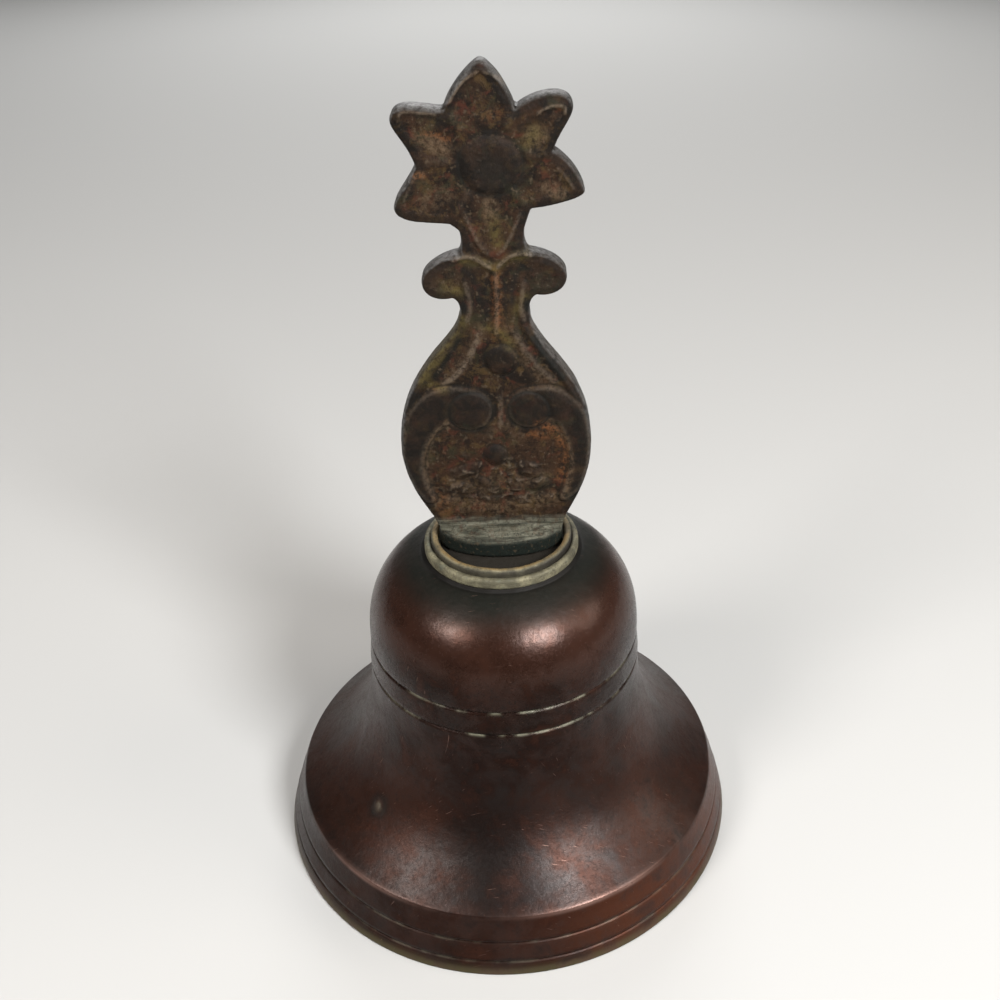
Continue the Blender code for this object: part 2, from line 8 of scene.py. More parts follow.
import bmesh
import bpy
import numpy as np
from mathutils import Matrix, Vector, noise


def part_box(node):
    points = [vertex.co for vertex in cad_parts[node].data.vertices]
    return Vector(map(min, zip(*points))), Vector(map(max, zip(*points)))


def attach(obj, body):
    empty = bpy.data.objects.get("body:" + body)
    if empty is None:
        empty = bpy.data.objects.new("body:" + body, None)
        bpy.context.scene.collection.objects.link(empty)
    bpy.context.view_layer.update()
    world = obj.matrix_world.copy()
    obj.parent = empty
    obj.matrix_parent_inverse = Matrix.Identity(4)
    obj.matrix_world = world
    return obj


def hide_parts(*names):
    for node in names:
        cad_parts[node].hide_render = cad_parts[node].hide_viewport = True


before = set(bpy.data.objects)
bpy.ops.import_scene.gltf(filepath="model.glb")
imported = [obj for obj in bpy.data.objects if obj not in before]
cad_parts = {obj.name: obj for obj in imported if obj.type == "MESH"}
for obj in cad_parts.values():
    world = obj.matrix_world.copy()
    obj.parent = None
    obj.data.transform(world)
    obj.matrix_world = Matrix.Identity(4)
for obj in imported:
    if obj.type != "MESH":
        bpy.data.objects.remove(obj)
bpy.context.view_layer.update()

MM = 0.001

# ---- places read from the frame, in millimetres ------------------------------------------------
def edges(node):
    low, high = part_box(node)
    return np.array(low) / MM, np.array(high) / MM


MOUTH_R = edges("bell_shell")[1][0]
SEAT_Z = edges("bell_shell")[1][2]
COLLAR_Z = edges("crown_collar")[0][2]
COLLAR_R = edges("crown_collar")[1][0]
FOOT_Z = edges("handle")[0][2]


# ---- mesh helpers -------------------------------------------------------------------------------
def linked(name, data):
    obj = bpy.data.objects.new(name, data)
    bpy.context.scene.collection.objects.link(obj)
    return obj


def new_object(name, vertices, faces, mats):
    mesh = bpy.data.meshes.new(name)
    mesh.from_pydata([tuple(v) for v in np.asarray(vertices) * MM], [], faces)
    mesh.update()
    for mat in mats:
        mesh.materials.append(mat)
    mesh.shade_smooth()
    return linked(name, mesh)


def add_attribute(obj, name, values):
    layer = obj.data.attributes.new(name, "FLOAT", "POINT")
    layer.data.foreach_set("value", np.clip(values, 0, 1).astype(np.float32))


def coords(obj):
    """Vertex positions in millimetres."""
    flat = np.empty(len(obj.data.vertices) * 3)
    obj.data.vertices.foreach_get("co", flat)
    return flat.reshape(-1, 3) / MM


def normals_of(obj):
    flat = np.empty(len(obj.data.vertices) * 3)
    obj.data.vertices.foreach_get("normal", flat)
    return flat.reshape(-1, 3)


def set_coords(obj, points):
    obj.data.vertices.foreach_set("co", (np.asarray(points) * MM).astype(np.float32).ravel())
    obj.data.update()


def smoothstep(low, high, value):
    t = np.clip((value - low) / (high - low), 0, 1)
    return t * t * (3 - 2 * t)


def bezier(p0, c0, c1, p1, count):
    """Points along one cubic, without its first."""
    t = np.linspace(0, 1, count + 1)[1:, None]
    p0, c0, c1, p1 = (np.array(p, float) for p in (p0, c0, c1, p1))
    curve = (1 - t) ** 3 * p0 + 3 * t * (1 - t) ** 2 * c0 + 3 * t ** 2 * (1 - t) * c1 + t ** 3 * p1
    return [tuple(p) for p in curve]


def rounded(points, radii, count=5):
    """A polyline whose corners are eased: each corner gets a small quadratic of its own radius."""
    points = [np.array(p, float) for p in points]
    out = [points[0]]
    for before, corner, after, radius in zip(points, points[1:], points[2:], radii):
        if radius <= 0:
            out.append(corner)
            continue
        a = corner + (before - corner) * min(0.45, radius / np.linalg.norm(before - corner))
        b = corner + (after - corner) * min(0.45, radius / np.linalg.norm(after - corner))
        for t in np.linspace(0, 1, count):
            out.append((1 - t) ** 2 * a + 2 * t * (1 - t) * corner + t ** 2 * b)
    out.append(points[-1])
    return [tuple(p) for p in out]


def resample(points, step):
    """The same polyline with no stretch longer than the step."""
    out = [points[0]]
    for a, b in zip(points, points[1:]):
        parts = max(1, math.ceil(math.dist(a, b) / step))
        out += [tuple(np.array(a) + (np.array(b) - np.array(a)) * i / parts) for i in range(1, parts + 1)]
    return out


def turned(name, profile, segments, mats, closed=True):
    """Spins (radius, height) points about Z. A closed profile is a ring's whole section. An open one
    starts and ends on the axis."""
    count = len(profile)
    turn = np.linspace(0, math.tau, segments, endpoint=False)
    rings = np.array(profile)
    poles = []
    if not closed:
        poles = [rings[0], rings[-1]]
        rings = rings[1:-1]
        count -= 2
    vertices = np.stack([np.outer(np.cos(turn), rings[:, 0]), np.outer(np.sin(turn), rings[:, 0]),
                         np.tile(rings[:, 1], (segments, 1))], axis=2).reshape(-1, 3)
    faces = []
    spans = count if closed else count - 1
    for s in range(segments):
        t = (s + 1) % segments
        for i in range(spans):
            j = (i + 1) % count
            faces.append((s * count + i, s * count + j, t * count + j, t * count + i))
    if not closed:
        top, bottom = len(vertices), len(vertices) + 1
        vertices = np.vstack([vertices, [(0, 0, poles[0][1]), (0, 0, poles[1][1])]])
        for s in range(segments):
            t = (s + 1) % segments
            faces.append((top, s * count, t * count))
            faces.append((bottom, t * count + count - 1, s * count + count - 1))
    return new_object(name, vertices, faces, mats)


def fine_noise(points, size, seed=0.0):
    """Smooth noise from about -1 to 1, with bumps about as wide as the size, in millimetres."""
    offset = Vector((seed, 3.1 * seed, -seed))
    return np.array([noise.noise(Vector(p) / size + offset) for p in points])


# ---- material helpers ---------------------------------------------------------------------------
SCRATCH_CUT = (0.745, 0.79)


class Shader:
    """Builds one Principled material. Texture sizes are given in millimetres."""

    def __init__(self, name):
        self.mat = bpy.data.materials.new(name)
        self.mat.use_nodes = True
        self.tree = self.mat.node_tree
        self.bsdf = self.tree.nodes["Principled BSDF"]
        place = self.tree.nodes.new("ShaderNodeTexCoord")
        self.place = place.outputs["Object"]

    def node(self, kind, **settings):
        node = self.tree.nodes.new(kind)
        for key, value in settings.items():
            setattr(node, key, value)
        return node

    def link(self, source, target):
        self.tree.links.new(source, target)

    def put(self, socket, value):
        """Sets a socket to a number or colour, or links it to an output."""
        if isinstance(value, bpy.types.NodeSocket):
            self.link(value, socket)
        else:
            socket.default_value = value

    def noise(self, size, detail=4, rough=0.55, stretch=(1, 1, 1), distort=0.0, shift=0.0,
              turn=(0, 0, 0)):
        mapping = self.node("ShaderNodeMapping")
        mapping.inputs["Rotation"].default_value = [math.radians(angle) for angle in turn]
        mapping.inputs["Scale"].default_value = [1 / (MM * size * s) for s in stretch]
        mapping.inputs["Location"].default_value = (shift, shift, shift)
        self.link(self.place, mapping.inputs["Vector"])
        tex = self.node("ShaderNodeTexNoise")
        tex.inputs["Scale"].default_value = 1.0
        tex.inputs["Detail"].default_value = detail
        tex.inputs["Roughness"].default_value = rough
        tex.inputs["Distortion"].default_value = distort
        self.link(mapping.outputs["Vector"], tex.inputs["Vector"])
        return tex.outputs["Fac"]

    def cells(self, size):
        mapping = self.node("ShaderNodeMapping")
        mapping.inputs["Scale"].default_value = [1 / (MM * size)] * 3
        self.link(self.place, mapping.inputs["Vector"])
        tex = self.node("ShaderNodeTexVoronoi", feature="F1")
        tex.inputs["Scale"].default_value = 1.0
        self.link(mapping.outputs["Vector"], tex.inputs["Vector"])
        return tex.outputs["Distance"]

    def scratches(self, width, length, turn, shift):
        """Thin, slightly wavy marks that run one way, 0 or 1."""
        stretch = (length / width, 1, length / width)
        lines = self.noise(width, detail=1, stretch=stretch, distort=0.3, shift=shift, turn=turn)
        return self.span(lines, *SCRATCH_CUT)

    def attribute(self, name):
        return self.node("ShaderNodeAttribute", attribute_name=name).outputs["Fac"]

    def painted(self, name, amount):
        """A vertex attribute, scaled by a number or broken up by a texture."""
        return self.math("MULTIPLY", self.attribute(name), amount)

    def math(self, operation, a, b):
        node = self.node("ShaderNodeMath", operation=operation)
        for socket, value in zip(node.inputs, (a, b)):
            self.put(socket, value)
        return node.outputs[0]

    def span(self, value, low, high, out_low=0.0, out_high=1.0):
        """Maps low..high to out_low..out_high, smoothly and clamped."""
        node = self.node("ShaderNodeMapRange", interpolation_type="SMOOTHSTEP")
        for name, number in (("Value", value), ("From Min", low), ("From Max", high),
                             ("To Min", out_low), ("To Max", out_high)):
            self.put(node.inputs[name], number)
        return node.outputs["Result"]

    def mix(self, amount, a, b):
        """A colour from a to b."""
        node = self.node("ShaderNodeMix", data_type="RGBA")
        self.put(node.inputs["Factor"], amount)
        for socket, value in ((node.inputs[6], a), (node.inputs[7], b)):
            if isinstance(value, tuple):
                value = (*value, 1.0)
            self.put(socket, value)
        return node.outputs[2]

    def bump(self, height, distance, strength=1.0, below=None):
        """A bump whose height output of 1 stands for the distance, in millimetres."""
        node = self.node("ShaderNodeBump")
        node.inputs["Strength"].default_value = strength
        node.inputs["Distance"].default_value = distance * MM
        self.link(height, node.inputs["Height"])
        if below is not None:
            self.link(below, node.inputs["Normal"])
        return node.outputs["Normal"]

    def finish(self, color, metallic, roughness, normal=None, **sockets):
        for name, value in (("Base Color", color), ("Metallic", metallic), ("Roughness", roughness)):
            if isinstance(value, tuple):
                value = (*value, 1.0)
            self.put(self.bsdf.inputs[name], value)
        if normal is not None:
            self.link(normal, self.bsdf.inputs["Normal"])
        for name, value in sockets.items():
            self.bsdf.inputs[name.replace("_", " ")].default_value = value
        return self.mat


# ---- materials ----------------------------------------------------------------------------------
BELL_TONES = {
    "deep brown": (0.0112, 0.0048, 0.0031),
    "brown": (0.0246, 0.0092, 0.0056),
    "chestnut": (0.0420, 0.0146, 0.0084),
    "sooty": (0.0062, 0.0036, 0.0029),
    "stain": (0.0056, 0.0039, 0.0034),
    "pit": (0.0039, 0.0025, 0.0021),
    "fleck": (0.0672, 0.0347, 0.0246),
    # painted sheen on the upper dome
    "dome": (0.0470, 0.0190, 0.0118),
    # painted shade at the front of the flare
    "front_shade": (0.0054, 0.0030, 0.0023),
    # reddish patina, painted lighter on lit sides
    "ruddy_lit_side": (0.0756, 0.0235, 0.0106),
    "crown green": (0.0106, 0.0120, 0.0090),
    # painted highlight along the shoulder, and wear at the rim and in the dent
    "rubbed_and_highlight": (0.24, 0.140, 0.112),
    "scratched": (0.20, 0.120, 0.095),
    "rim green": (0.085, 0.075, 0.038),
    "residue": (0.20, 0.198, 0.140),
    # painted shade in grooves
    "groove": (0.008, 0.007, 0.006),
    "inside dark": (0.030, 0.018, 0.011),
    "inside pale": (0.062, 0.048, 0.030),
}


def patinated_bronze():
    """Old bronze, worn by handling: red-brown patina, worn smoother in places, grey-green near the crown.
    Light and shade are also painted into the colour: shade in the grooves and at the front of the flare, a
    sheen on the upper dome, highlights along the shoulder, and a lighter red on the lit right of the lip and
    the flare's flanks.
    """
    s = Shader("patinated_bronze")
    tone = BELL_TONES
    clouds = s.noise(14, detail=5, rough=0.6)
    blotch = s.noise(5.5, detail=6, rough=0.65, distort=0.4, shift=5)
    stain = s.noise(1.6, detail=5, rough=0.7, shift=44)
    speck = s.noise(0.55, detail=3, rough=0.6)
    turning = s.noise(0.35, detail=2, stretch=(60, 60, 1))
    fleck = s.noise(0.42, detail=2, shift=30)
    brown = s.mix(s.span(clouds, 0.36, 0.62), tone["deep brown"], tone["brown"])
    brown = s.mix(s.span(blotch, 0.54, 0.70, 0, 0.6), brown, tone["chestnut"])
    brown = s.mix(s.span(blotch, 0.30, 0.44, 0.6, 0), brown, tone["sooty"])
    brown = s.mix(s.span(stain, 0.52, 0.66, 0, 0.45), brown, tone["stain"])
    brown = s.mix(s.span(speck, 0.58, 0.70, 0, 0.6), brown, tone["pit"])
    brown = s.mix(s.span(fleck, 0.66, 0.76, 0, 0.5), brown, tone["fleck"])
    # Painted sheen: the upper dome is painted a lighter brown where the lamps' broad highlights spread.
    brown = s.mix(s.painted("dome_sheen", 0.65), brown, tone["dome"])
    # Painted shade: the flare is painted darker towards its front, broken up by blotches.
    brown = s.mix(s.painted("front_shade", s.span(blotch, 0.42, 0.64, 0.85, 0.35)), brown, tone["front_shade"])
    # Reddish patina and painted light: a lighter red on the lit right of the lip and on the flare's flanks.
    brown = s.mix(s.painted("ruddy_lit_side", s.span(blotch, 0.36, 0.60, 0.25, 0.9)), brown, tone["ruddy_lit_side"])
    green = s.painted("crown_dark", s.span(blotch, 0.3, 0.7, 0.75, 1.0))
    color = s.mix(green, brown, tone["crown green"])
    # Painted highlight along the shoulder where the lamps catch it, with wear at the mouth's rim and in the
    # dent.
    color = s.mix(s.attribute("rub_and_highlight"), color, tone["rubbed_and_highlight"])
    marks = s.math("MAXIMUM", s.scratches(0.15, 3.0, (20, 35, 10), 3),
                   s.scratches(0.13, 2.2, (-40, 15, 60), 8))
    marks = s.math("MAXIMUM", marks, s.scratches(0.13, 4.5, (10, -50, 110), 17))
    marks = s.math("MULTIPLY", marks, s.span(blotch, 0.46, 0.60, 0.0, 0.6))
    color = s.mix(marks, color, tone["scratched"])
    color = s.mix(s.painted("rim_green", s.span(blotch, 0.35, 0.6, 0.2, 0.9)), color, tone["rim green"])
    residue = s.painted("residue", s.span(s.noise(3.5, detail=4, shift=9), 0.42, 0.62))
    color = s.mix(residue, color, tone["residue"])
    # Painted shade in the grooves and lip lines, at the collar's seat and round the dent.
    color = s.mix(s.attribute("groove_shade"), color, tone["groove"])
    bare = s.mix(s.span(blotch, 0.35, 0.62), tone["inside dark"], tone["inside pale"])
    color = s.mix(s.attribute("inside"), color, bare)
    rough = s.span(blotch, 0.3, 0.75, 0.22, 0.31)
    rough = s.math("ADD", rough, s.painted("flared", 0.10))
    rough = s.math("SUBTRACT", rough, s.painted("dome_sheen", 0.03))
    rough = s.math("ADD", rough, s.span(speck, 0.45, 0.7, 0.0, 0.08))
    rough = s.math("ADD", rough, s.math("MULTIPLY", green, 0.25))
    rough = s.math("MAXIMUM", rough, s.painted("groove_shade", 0.7))
    rough = s.math("SUBTRACT", rough, s.painted("rub_and_highlight", 0.12))
    rough = s.math("MAXIMUM", rough, s.math("MULTIPLY", residue, 0.8))
    rough = s.math("MAXIMUM", rough, s.painted("inside", 0.55))
    normal = s.bump(turning, 0.004, 0.5)
    normal = s.bump(s.noise(0.8, detail=5, rough=0.8), 0.045, 0.7, normal)
    normal = s.bump(s.noise(2.6, detail=4, rough=0.6), 0.085, 0.7, normal)
    normal = s.bump(s.noise(9, detail=2), 0.16, 0.45, normal)
    metal = s.math("ADD", s.span(blotch, 0.38, 0.62, 0.34, 0.62), s.painted("steep", 0.50))
    metal = s.math("SUBTRACT", metal, s.math("MULTIPLY", residue, 0.8))
    return s.finish(color, metal, rough, normal, IOR=1.45, Specular_IOR_Level=0.36)


HANDLE_TONES = {
    "field dark": (0.0068, 0.0042, 0.0025),
    "field brown": (0.0255, 0.0128, 0.0062),
    "yellow": (0.060, 0.036, 0.0125),
    "olive": (0.024, 0.022, 0.0105),
    "red": (0.062, 0.0175, 0.0095),
    "worn dark": (0.0060, 0.0046, 0.0035),
    "worn brown": (0.0140, 0.0084, 0.0056),
    "worn green": (0.0120, 0.0135, 0.0085),
    "pale brown": (0.094, 0.061, 0.035),
    "orange": (0.105, 0.042, 0.015),
    "ochre": (0.066, 0.050, 0.0155),
    # crests: worn, and painted lighter as highlights
    "crest": (0.110, 0.084, 0.060),
    # painted shade in creases and recesses
    "crease_shade": (0.0060, 0.0062, 0.0052),
    # painted reflection on edges that face up
    "edge sheen": (0.150, 0.147, 0.142),
    # the foot's ledge: file marks, painted pale as if lit from above
    "ledge dark": (0.036, 0.037, 0.027),
    "ledge pale": (0.120, 0.118, 0.088),
    # the foot's upright side: green patina, painted dark as if in shade
    "foot side shade": (0.0110, 0.0145, 0.0120),
    "pit": (0.0052, 0.0042, 0.0028),
    "crumb": (0.078, 0.056, 0.034),
    "fleck": (0.150, 0.110, 0.075),
}


def cast_bronze():
    """The handle: raised parts darkened by handling, ochre and red patina and pale residue between them, and
    a grey-green foot. Shade is painted into creases and recesses, highlights are painted on crests and on
    edges that face up, the foot's sloping ledge is painted pale as if lit, and its upright side is painted
    dark as if in shade."""
    s = Shader("cast_bronze")
    tone = HANDLE_TONES
    cloud = s.noise(3.2, detail=6, rough=0.7, distort=0.4)
    patch = s.noise(2.4, detail=6, rough=0.7, distort=0.5, shift=7)
    red = s.noise(3.0, detail=5, rough=0.65, distort=0.4, shift=21)
    grain = s.noise(0.55, detail=5, rough=0.8)
    fleck = s.noise(0.34, detail=2, shift=13)
    olive = s.noise(4.0, detail=5, rough=0.7, distort=0.6, shift=40)
    crumbs = s.noise(1.0, detail=6, rough=0.75, shift=33)
    filed = s.noise(0.5, detail=4, rough=0.7, stretch=(16, 3, 1), shift=52)
    field = s.mix(s.span(cloud, 0.40, 0.60), tone["field dark"], tone["field brown"])
    field = s.mix(s.span(patch, 0.52, 0.64, 0, 0.6), field, tone["yellow"])
    field = s.mix(s.span(olive, 0.52, 0.64, 0, 0.6), field, tone["olive"])
    field = s.mix(s.span(red, 0.55, 0.66, 0, 0.6), field, tone["red"])
    worn = s.mix(s.span(cloud, 0.40, 0.62), tone["worn dark"], tone["worn brown"])
    worn = s.mix(s.span(olive, 0.54, 0.66, 0, 0.5), worn, tone["worn green"])
    color = s.mix(s.painted("raised", s.span(patch, 0.3, 0.7, 1.0, 0.7)), field, worn)
    color = s.mix(s.painted("hollow", s.span(crumbs, 0.40, 0.58, 0.05, 0.9)), color, tone["pale brown"])
    color = s.mix(s.painted("orange", s.span(crumbs, 0.44, 0.56, 0.0, 0.95)), color, tone["orange"])
    color = s.mix(s.painted("ochre", s.span(crumbs, 0.36, 0.56, 0.15, 0.95)), color, tone["ochre"])
    # Crests: worn lighter, and painted lighter as highlights.
    color = s.mix(s.painted("crest", s.span(crumbs, 0.36, 0.56, 0.10, 0.85)), color, tone["crest"])
    # Painted shade in creases, moats and recesses.
    color = s.mix(s.painted("cavity_shade", 0.9), color, tone["crease_shade"])
    # Painted reflection: edges that face up are painted pale grey.
    color = s.mix(s.painted("edge_sheen", s.span(crumbs, 0.36, 0.60, 0.15, 0.85)), color, tone["edge sheen"])
    # The foot's sloping ledge: file marks over grey-green, painted pale as if lit from above.
    ledge = s.mix(s.span(filed, 0.38, 0.62), tone["ledge dark"], tone["ledge pale"])
    color = s.mix(s.painted("ledge_grey_and_sheen", s.span(crumbs, 0.36, 0.56, 0.5, 1.0)), color, ledge)
    # The foot's upright side: green patina, painted dark as if in shade.
    color = s.mix(s.attribute("foot_side_shade"), color, tone["foot side shade"])
    color = s.mix(s.span(grain, 0.51, 0.66, 0, 0.72), color, tone["pit"])
    quiet = s.math("SUBTRACT", 1.0, s.painted("raised", 0.85))
    pale = s.math("MULTIPLY", quiet, s.span(s.noise(0.7, detail=3, shift=60), 0.58, 0.70, 0, 0.5))
    color = s.mix(pale, color, tone["crumb"])
    sparse = s.math("MULTIPLY", s.span(fleck, 0.68, 0.78, 0, 0.7), s.span(cloud, 0.40, 0.62))
    sparse = s.math("MULTIPLY", sparse, quiet)
    color = s.mix(sparse, color, tone["fleck"])
    rough = s.span(grain, 0.3, 0.7, 0.40, 0.66)
    rough = s.math("SUBTRACT", rough, s.painted("raised", 0.06))
    normal = s.bump(grain, 0.16, 0.9)
    normal = s.bump(filed, 0.05, 0.5, normal)
    normal = s.bump(s.noise(1.5, detail=5, rough=0.65), 0.26, 0.6, normal)
    return s.finish(color, 0.15, rough, normal, IOR=1.5, Specular_IOR_Level=0.14)


BRASS_OCHRE = (0.20, 0.130, 0.046)
BRASS_GRIME = (0.050, 0.042, 0.030)
# painted shade in cavities
BRASS_CAVITY_SHADE = (0.016, 0.013, 0.009)


def worn_brass(name, clean, dark, tarnish, roughness, metallic):
    """Unpolished brass: pale where worn, darker and greener where it isn't, with painted shade in its
    cavities.
    """
    s = Shader(name)
    cloud = s.noise(3.0, detail=6, rough=0.65, distort=0.5)
    grain = s.noise(0.4, detail=4, rough=0.7)
    color = s.mix(s.span(cloud, 0.36, 0.64), dark, clean)
    color = s.mix(s.span(s.noise(1.3, detail=5, shift=4), 0.55, 0.7, 0, 0.6), color, tarnish)
    color = s.mix(s.painted("ochre", s.span(cloud, 0.35, 0.6, 0.35, 0.95)), color, BRASS_OCHRE)
    color = s.mix(s.span(grain, 0.50, 0.66, 0, 0.7), color, dark)
    color = s.mix(s.span(s.noise(0.5, detail=4, shift=22), 0.60, 0.70, 0, 0.6), color, BRASS_GRIME)
    # Painted shade in cavities.
    color = s.mix(s.attribute("cavity_shade"), color, BRASS_CAVITY_SHADE)
    rough = s.span(grain, 0.3, 0.7, *roughness)
    normal = s.bump(grain, 0.12, 0.8)
    normal = s.bump(s.noise(1.4, detail=3), 0.10, 0.5, normal)
    return s.finish(color, metallic, rough, normal)


def plain_steel(name, light, dark, rust, metallic):
    s = Shader(name)
    cloud = s.noise(2.5, detail=5, rough=0.6)
    grain = s.noise(0.35, detail=4, rough=0.7)
    color = s.mix(s.span(cloud, 0.35, 0.65), dark, light)
    color = s.mix(s.span(s.noise(1.6, detail=5, shift=3), 0.56, 0.70, 0, 0.7), color, rust)
    rough = s.span(grain, 0.3, 0.7, 0.34, 0.60)
    normal = s.bump(grain, 0.03, 0.6)
    return s.finish(color, metallic, rough, normal)


def leather():
    s = Shader("leather")
    pores = s.cells(0.45)
    fibre = s.noise(0.8, detail=5, rough=0.7)
    color = s.mix(s.span(fibre, 0.35, 0.65), (0.060, 0.028, 0.014), (0.16, 0.082, 0.040))
    color = s.mix(s.span(pores, 0.0, 0.25, 0.6, 0.0), color, (0.030, 0.014, 0.008))
    normal = s.bump(pores, 0.08, 0.6)
    return s.finish(color, 0.0, s.span(fibre, 0.3, 0.7, 0.65, 0.85), normal)


# ---- camera, light and floor --------------------------------------------------------------------
CAMERA_LENS = 39.6
CAMERA_SENSOR = 36.0
CAMERA_SHIFT = (-0.0535, -0.0276)
CAMERA_PLACE = (3.68, -158.36, 170.40)
CAMERA_PITCH, CAMERA_YAW, CAMERA_ROLL = 0.5466, 0.0343, 0.0025
NEAREST = 0.01

FLOOR_HALF = 3.0
FLOOR_COLOR = (0.50, 0.50, 0.49)
FLOOR_ROUGH = 0.9
ROOM_LIGHT = 0.10
LIGHTS_AIM = (0, 0, 0.05)
# Name, azimuth and elevation in degrees, distance and diameter in metres, watts, colour.
# Azimuth 0 is in front, and grows towards +X.
LIGHTS = (
    ("left_window", -52, 40, 0.62, 0.22, 2.7, (1.0, 0.95, 0.91)),
    ("back_window", 180, 28, 1.2, 0.8, 7.0, (1.0, 1.0, 1.0)),
    ("right_fill", 82, 30, 0.9, 0.5, 2.6, (1.0, 0.90, 0.80)),
    ("right_window", 38, 38, 0.62, 0.22, 5.6, (1.0, 1.0, 1.0)),
)


def camera():
    """The place that a phone is held to look down on a bell from close by."""
    data = bpy.data.cameras.new("camera")
    data.lens = CAMERA_LENS
    data.sensor_width = CAMERA_SENSOR
    data.shift_x, data.shift_y = CAMERA_SHIFT
    data.clip_start = NEAREST
    obj = linked("camera", data)
    level = math.cos(CAMERA_PITCH)
    forward = Vector((math.sin(CAMERA_YAW) * level, math.cos(CAMERA_YAW) * level, -math.sin(CAMERA_PITCH)))
    upright = forward.to_track_quat("-Z", "Y").to_matrix()
    obj.rotation_euler = (upright @ Matrix.Rotation(-CAMERA_ROLL, 3, "Z")).to_euler()
    obj.location = Vector(CAMERA_PLACE) * MM
    bpy.context.scene.camera = obj


def soft_light(name, azimuth, elevation, distance, size, power, color):
    """A round softbox aimed at the bell."""
    data = bpy.data.lights.new(name, "AREA")
    data.shape = "DISK"
    data.size = size
    data.energy = power
    data.color = color
    obj = linked(name, data)
    az, el = math.radians(azimuth), math.radians(elevation)
    away = Vector((math.sin(az) * math.cos(el), -math.cos(az) * math.cos(el), math.sin(el)))
    obj.location = Vector(LIGHTS_AIM) + away * distance
    obj.rotation_euler = (-away).to_track_quat("-Z", "Y").to_euler()


def stage():
    corners = [(-FLOOR_HALF, -FLOOR_HALF, 0), (FLOOR_HALF, -FLOOR_HALF, 0),
               (FLOOR_HALF, FLOOR_HALF, 0), (-FLOOR_HALF, FLOOR_HALF, 0)]
    mesh = bpy.data.meshes.new("floor")
    mesh.from_pydata(corners, [], [(0, 1, 2, 3)])
    floor = linked("floor", mesh)
    mesh.materials.append(Shader("pale_floor").finish(FLOOR_COLOR, 0.0, FLOOR_ROUGH))
    world = bpy.data.worlds.new("studio")
    bpy.context.scene.world = world
    world.use_nodes = True
    background = world.node_tree.nodes["Background"]
    background.inputs["Color"].default_value = (1.0, 1.0, 1.0, 1.0)
    background.inputs["Strength"].default_value = ROOM_LIGHT
    for light in LIGHTS:
        soft_light(*light)


# ---- bell shell ---------------------------------------------------------------------------------
WAIST_R = 24.25
WAIST_LOW_R = 24.6
UPPER_GROOVE_Z = 42.3
LOWER_GROOVE_Z = 37.7
DOME_RISE = 19.2
DOME_POWER = 2.5
SHOULDER_Z = 10.8
LIP_BATTER = 0.32
LIP_LINES = (6.15, 2.7)
# How deep each line is cut, and how far above its middle.
GROOVE_CUT = ((0.0, 0.50), (0.05, 0.32), (0.272, 0.14), (0.34, 0.0), (0.272, -0.14), (0.05, -0.32),
              (0.0, -0.50))
LIP_CUT = ((0.02, 0.42), (0.10, 0.30), (0.22, 0.12), (0.24, -0.02), (0.16, -0.16), (-0.02, -0.28),
           (-0.10, -0.42))
WALL = 2.7
LIP_WALL = 3.0
HOLE_R = 2.3
CROWN_THICK = 3.2
OUTSIDE_STEP, INSIDE_STEP = 0.6, 1.2
SHELL_SEGMENTS = 288
DENT_AT = (-23.2, -21.2, 18.5)


def dome_point(angle):
    power = 2 / DOME_POWER
    return (WAIST_R * math.cos(angle) ** power, UPPER_GROOVE_Z + DOME_RISE * math.sin(angle) ** power)


def flare(count):
    top = LOWER_GROOVE_Z - 0.45
    drop = top - SHOULDER_Z
    shoulder_r = MOUTH_R - LIP_BATTER * SHOULDER_Z
    start = (WAIST_LOW_R, top)
    return [start] + bezier(start, (WAIST_LOW_R + 0.2, top - 0.575 * drop),
                            (shoulder_r - 8.6, SHOULDER_Z + 0.222 * drop), (shoulder_r, SHOULDER_Z), count)


def turned_groove(radius, height):
    return [(radius - cut, height + rise) for cut, rise in GROOVE_CUT]


def lip_r(height):
    return MOUTH_R - LIP_BATTER * height


def bell_outside():
    seat_r = COLLAR_R + 0.3
    first = math.acos((seat_r / WAIST_R) ** (DOME_POWER / 2))
    path = [(seat_r, SEAT_Z), (seat_r, dome_point(first)[1] - 0.08)]
    path += [dome_point(first * (1 - i / 46)) for i in range(1, 46)]
    path = [p for p in path if p[1] > UPPER_GROOVE_Z + 0.6 or p[0] < 20]
    path += turned_groove(WAIST_R, UPPER_GROOVE_Z)
    path += turned_groove(WAIST_LOW_R, LOWER_GROOVE_Z)
    path += flare(60)[1:-1]
    shoulder_r = lip_r(SHOULDER_Z)
    path += rounded([path[-1], (shoulder_r, SHOULDER_Z), (lip_r(9.0), 9.0)], [0.85], 9)[1:]
    for height in LIP_LINES:
        path += [(lip_r(height) - cut, height + rise) for cut, rise in LIP_CUT]
    path += rounded([path[-1], (MOUTH_R - 0.05, 0.25), (MOUTH_R - 0.8, 0.0), (MOUTH_R - LIP_WALL, 0.0)],
                    [0.5, 0.4], 5)[1:]
    return path


def bell_inside():
    path = [dome_point(i * math.pi / 40) for i in range(15, -1, -1)] + flare(36)[:-4]
    path = np.array(path)
    along = np.gradient(path, axis=0)
    along /= np.linalg.norm(along, axis=1)[:, None]
    inside = path + np.stack([along[:, 1], -along[:, 0]], axis=1) * WALL
    under = SEAT_Z - CROWN_THICK
    inside = inside[inside[:, 1] < under - 0.4]
    up = [tuple(p) for p in inside[::-1]]
    up += bezier(up[-1], (up[-1][0] - 3, under - 0.2), (9.0, under), (7.0, under), 8)
    return up + [(HOLE_R, under), (HOLE_R, SEAT_Z)]


def around(value, middle, width):
    """A bell curve that is 1 at the middle."""
    return np.exp(-((value - middle) / width) ** 2)


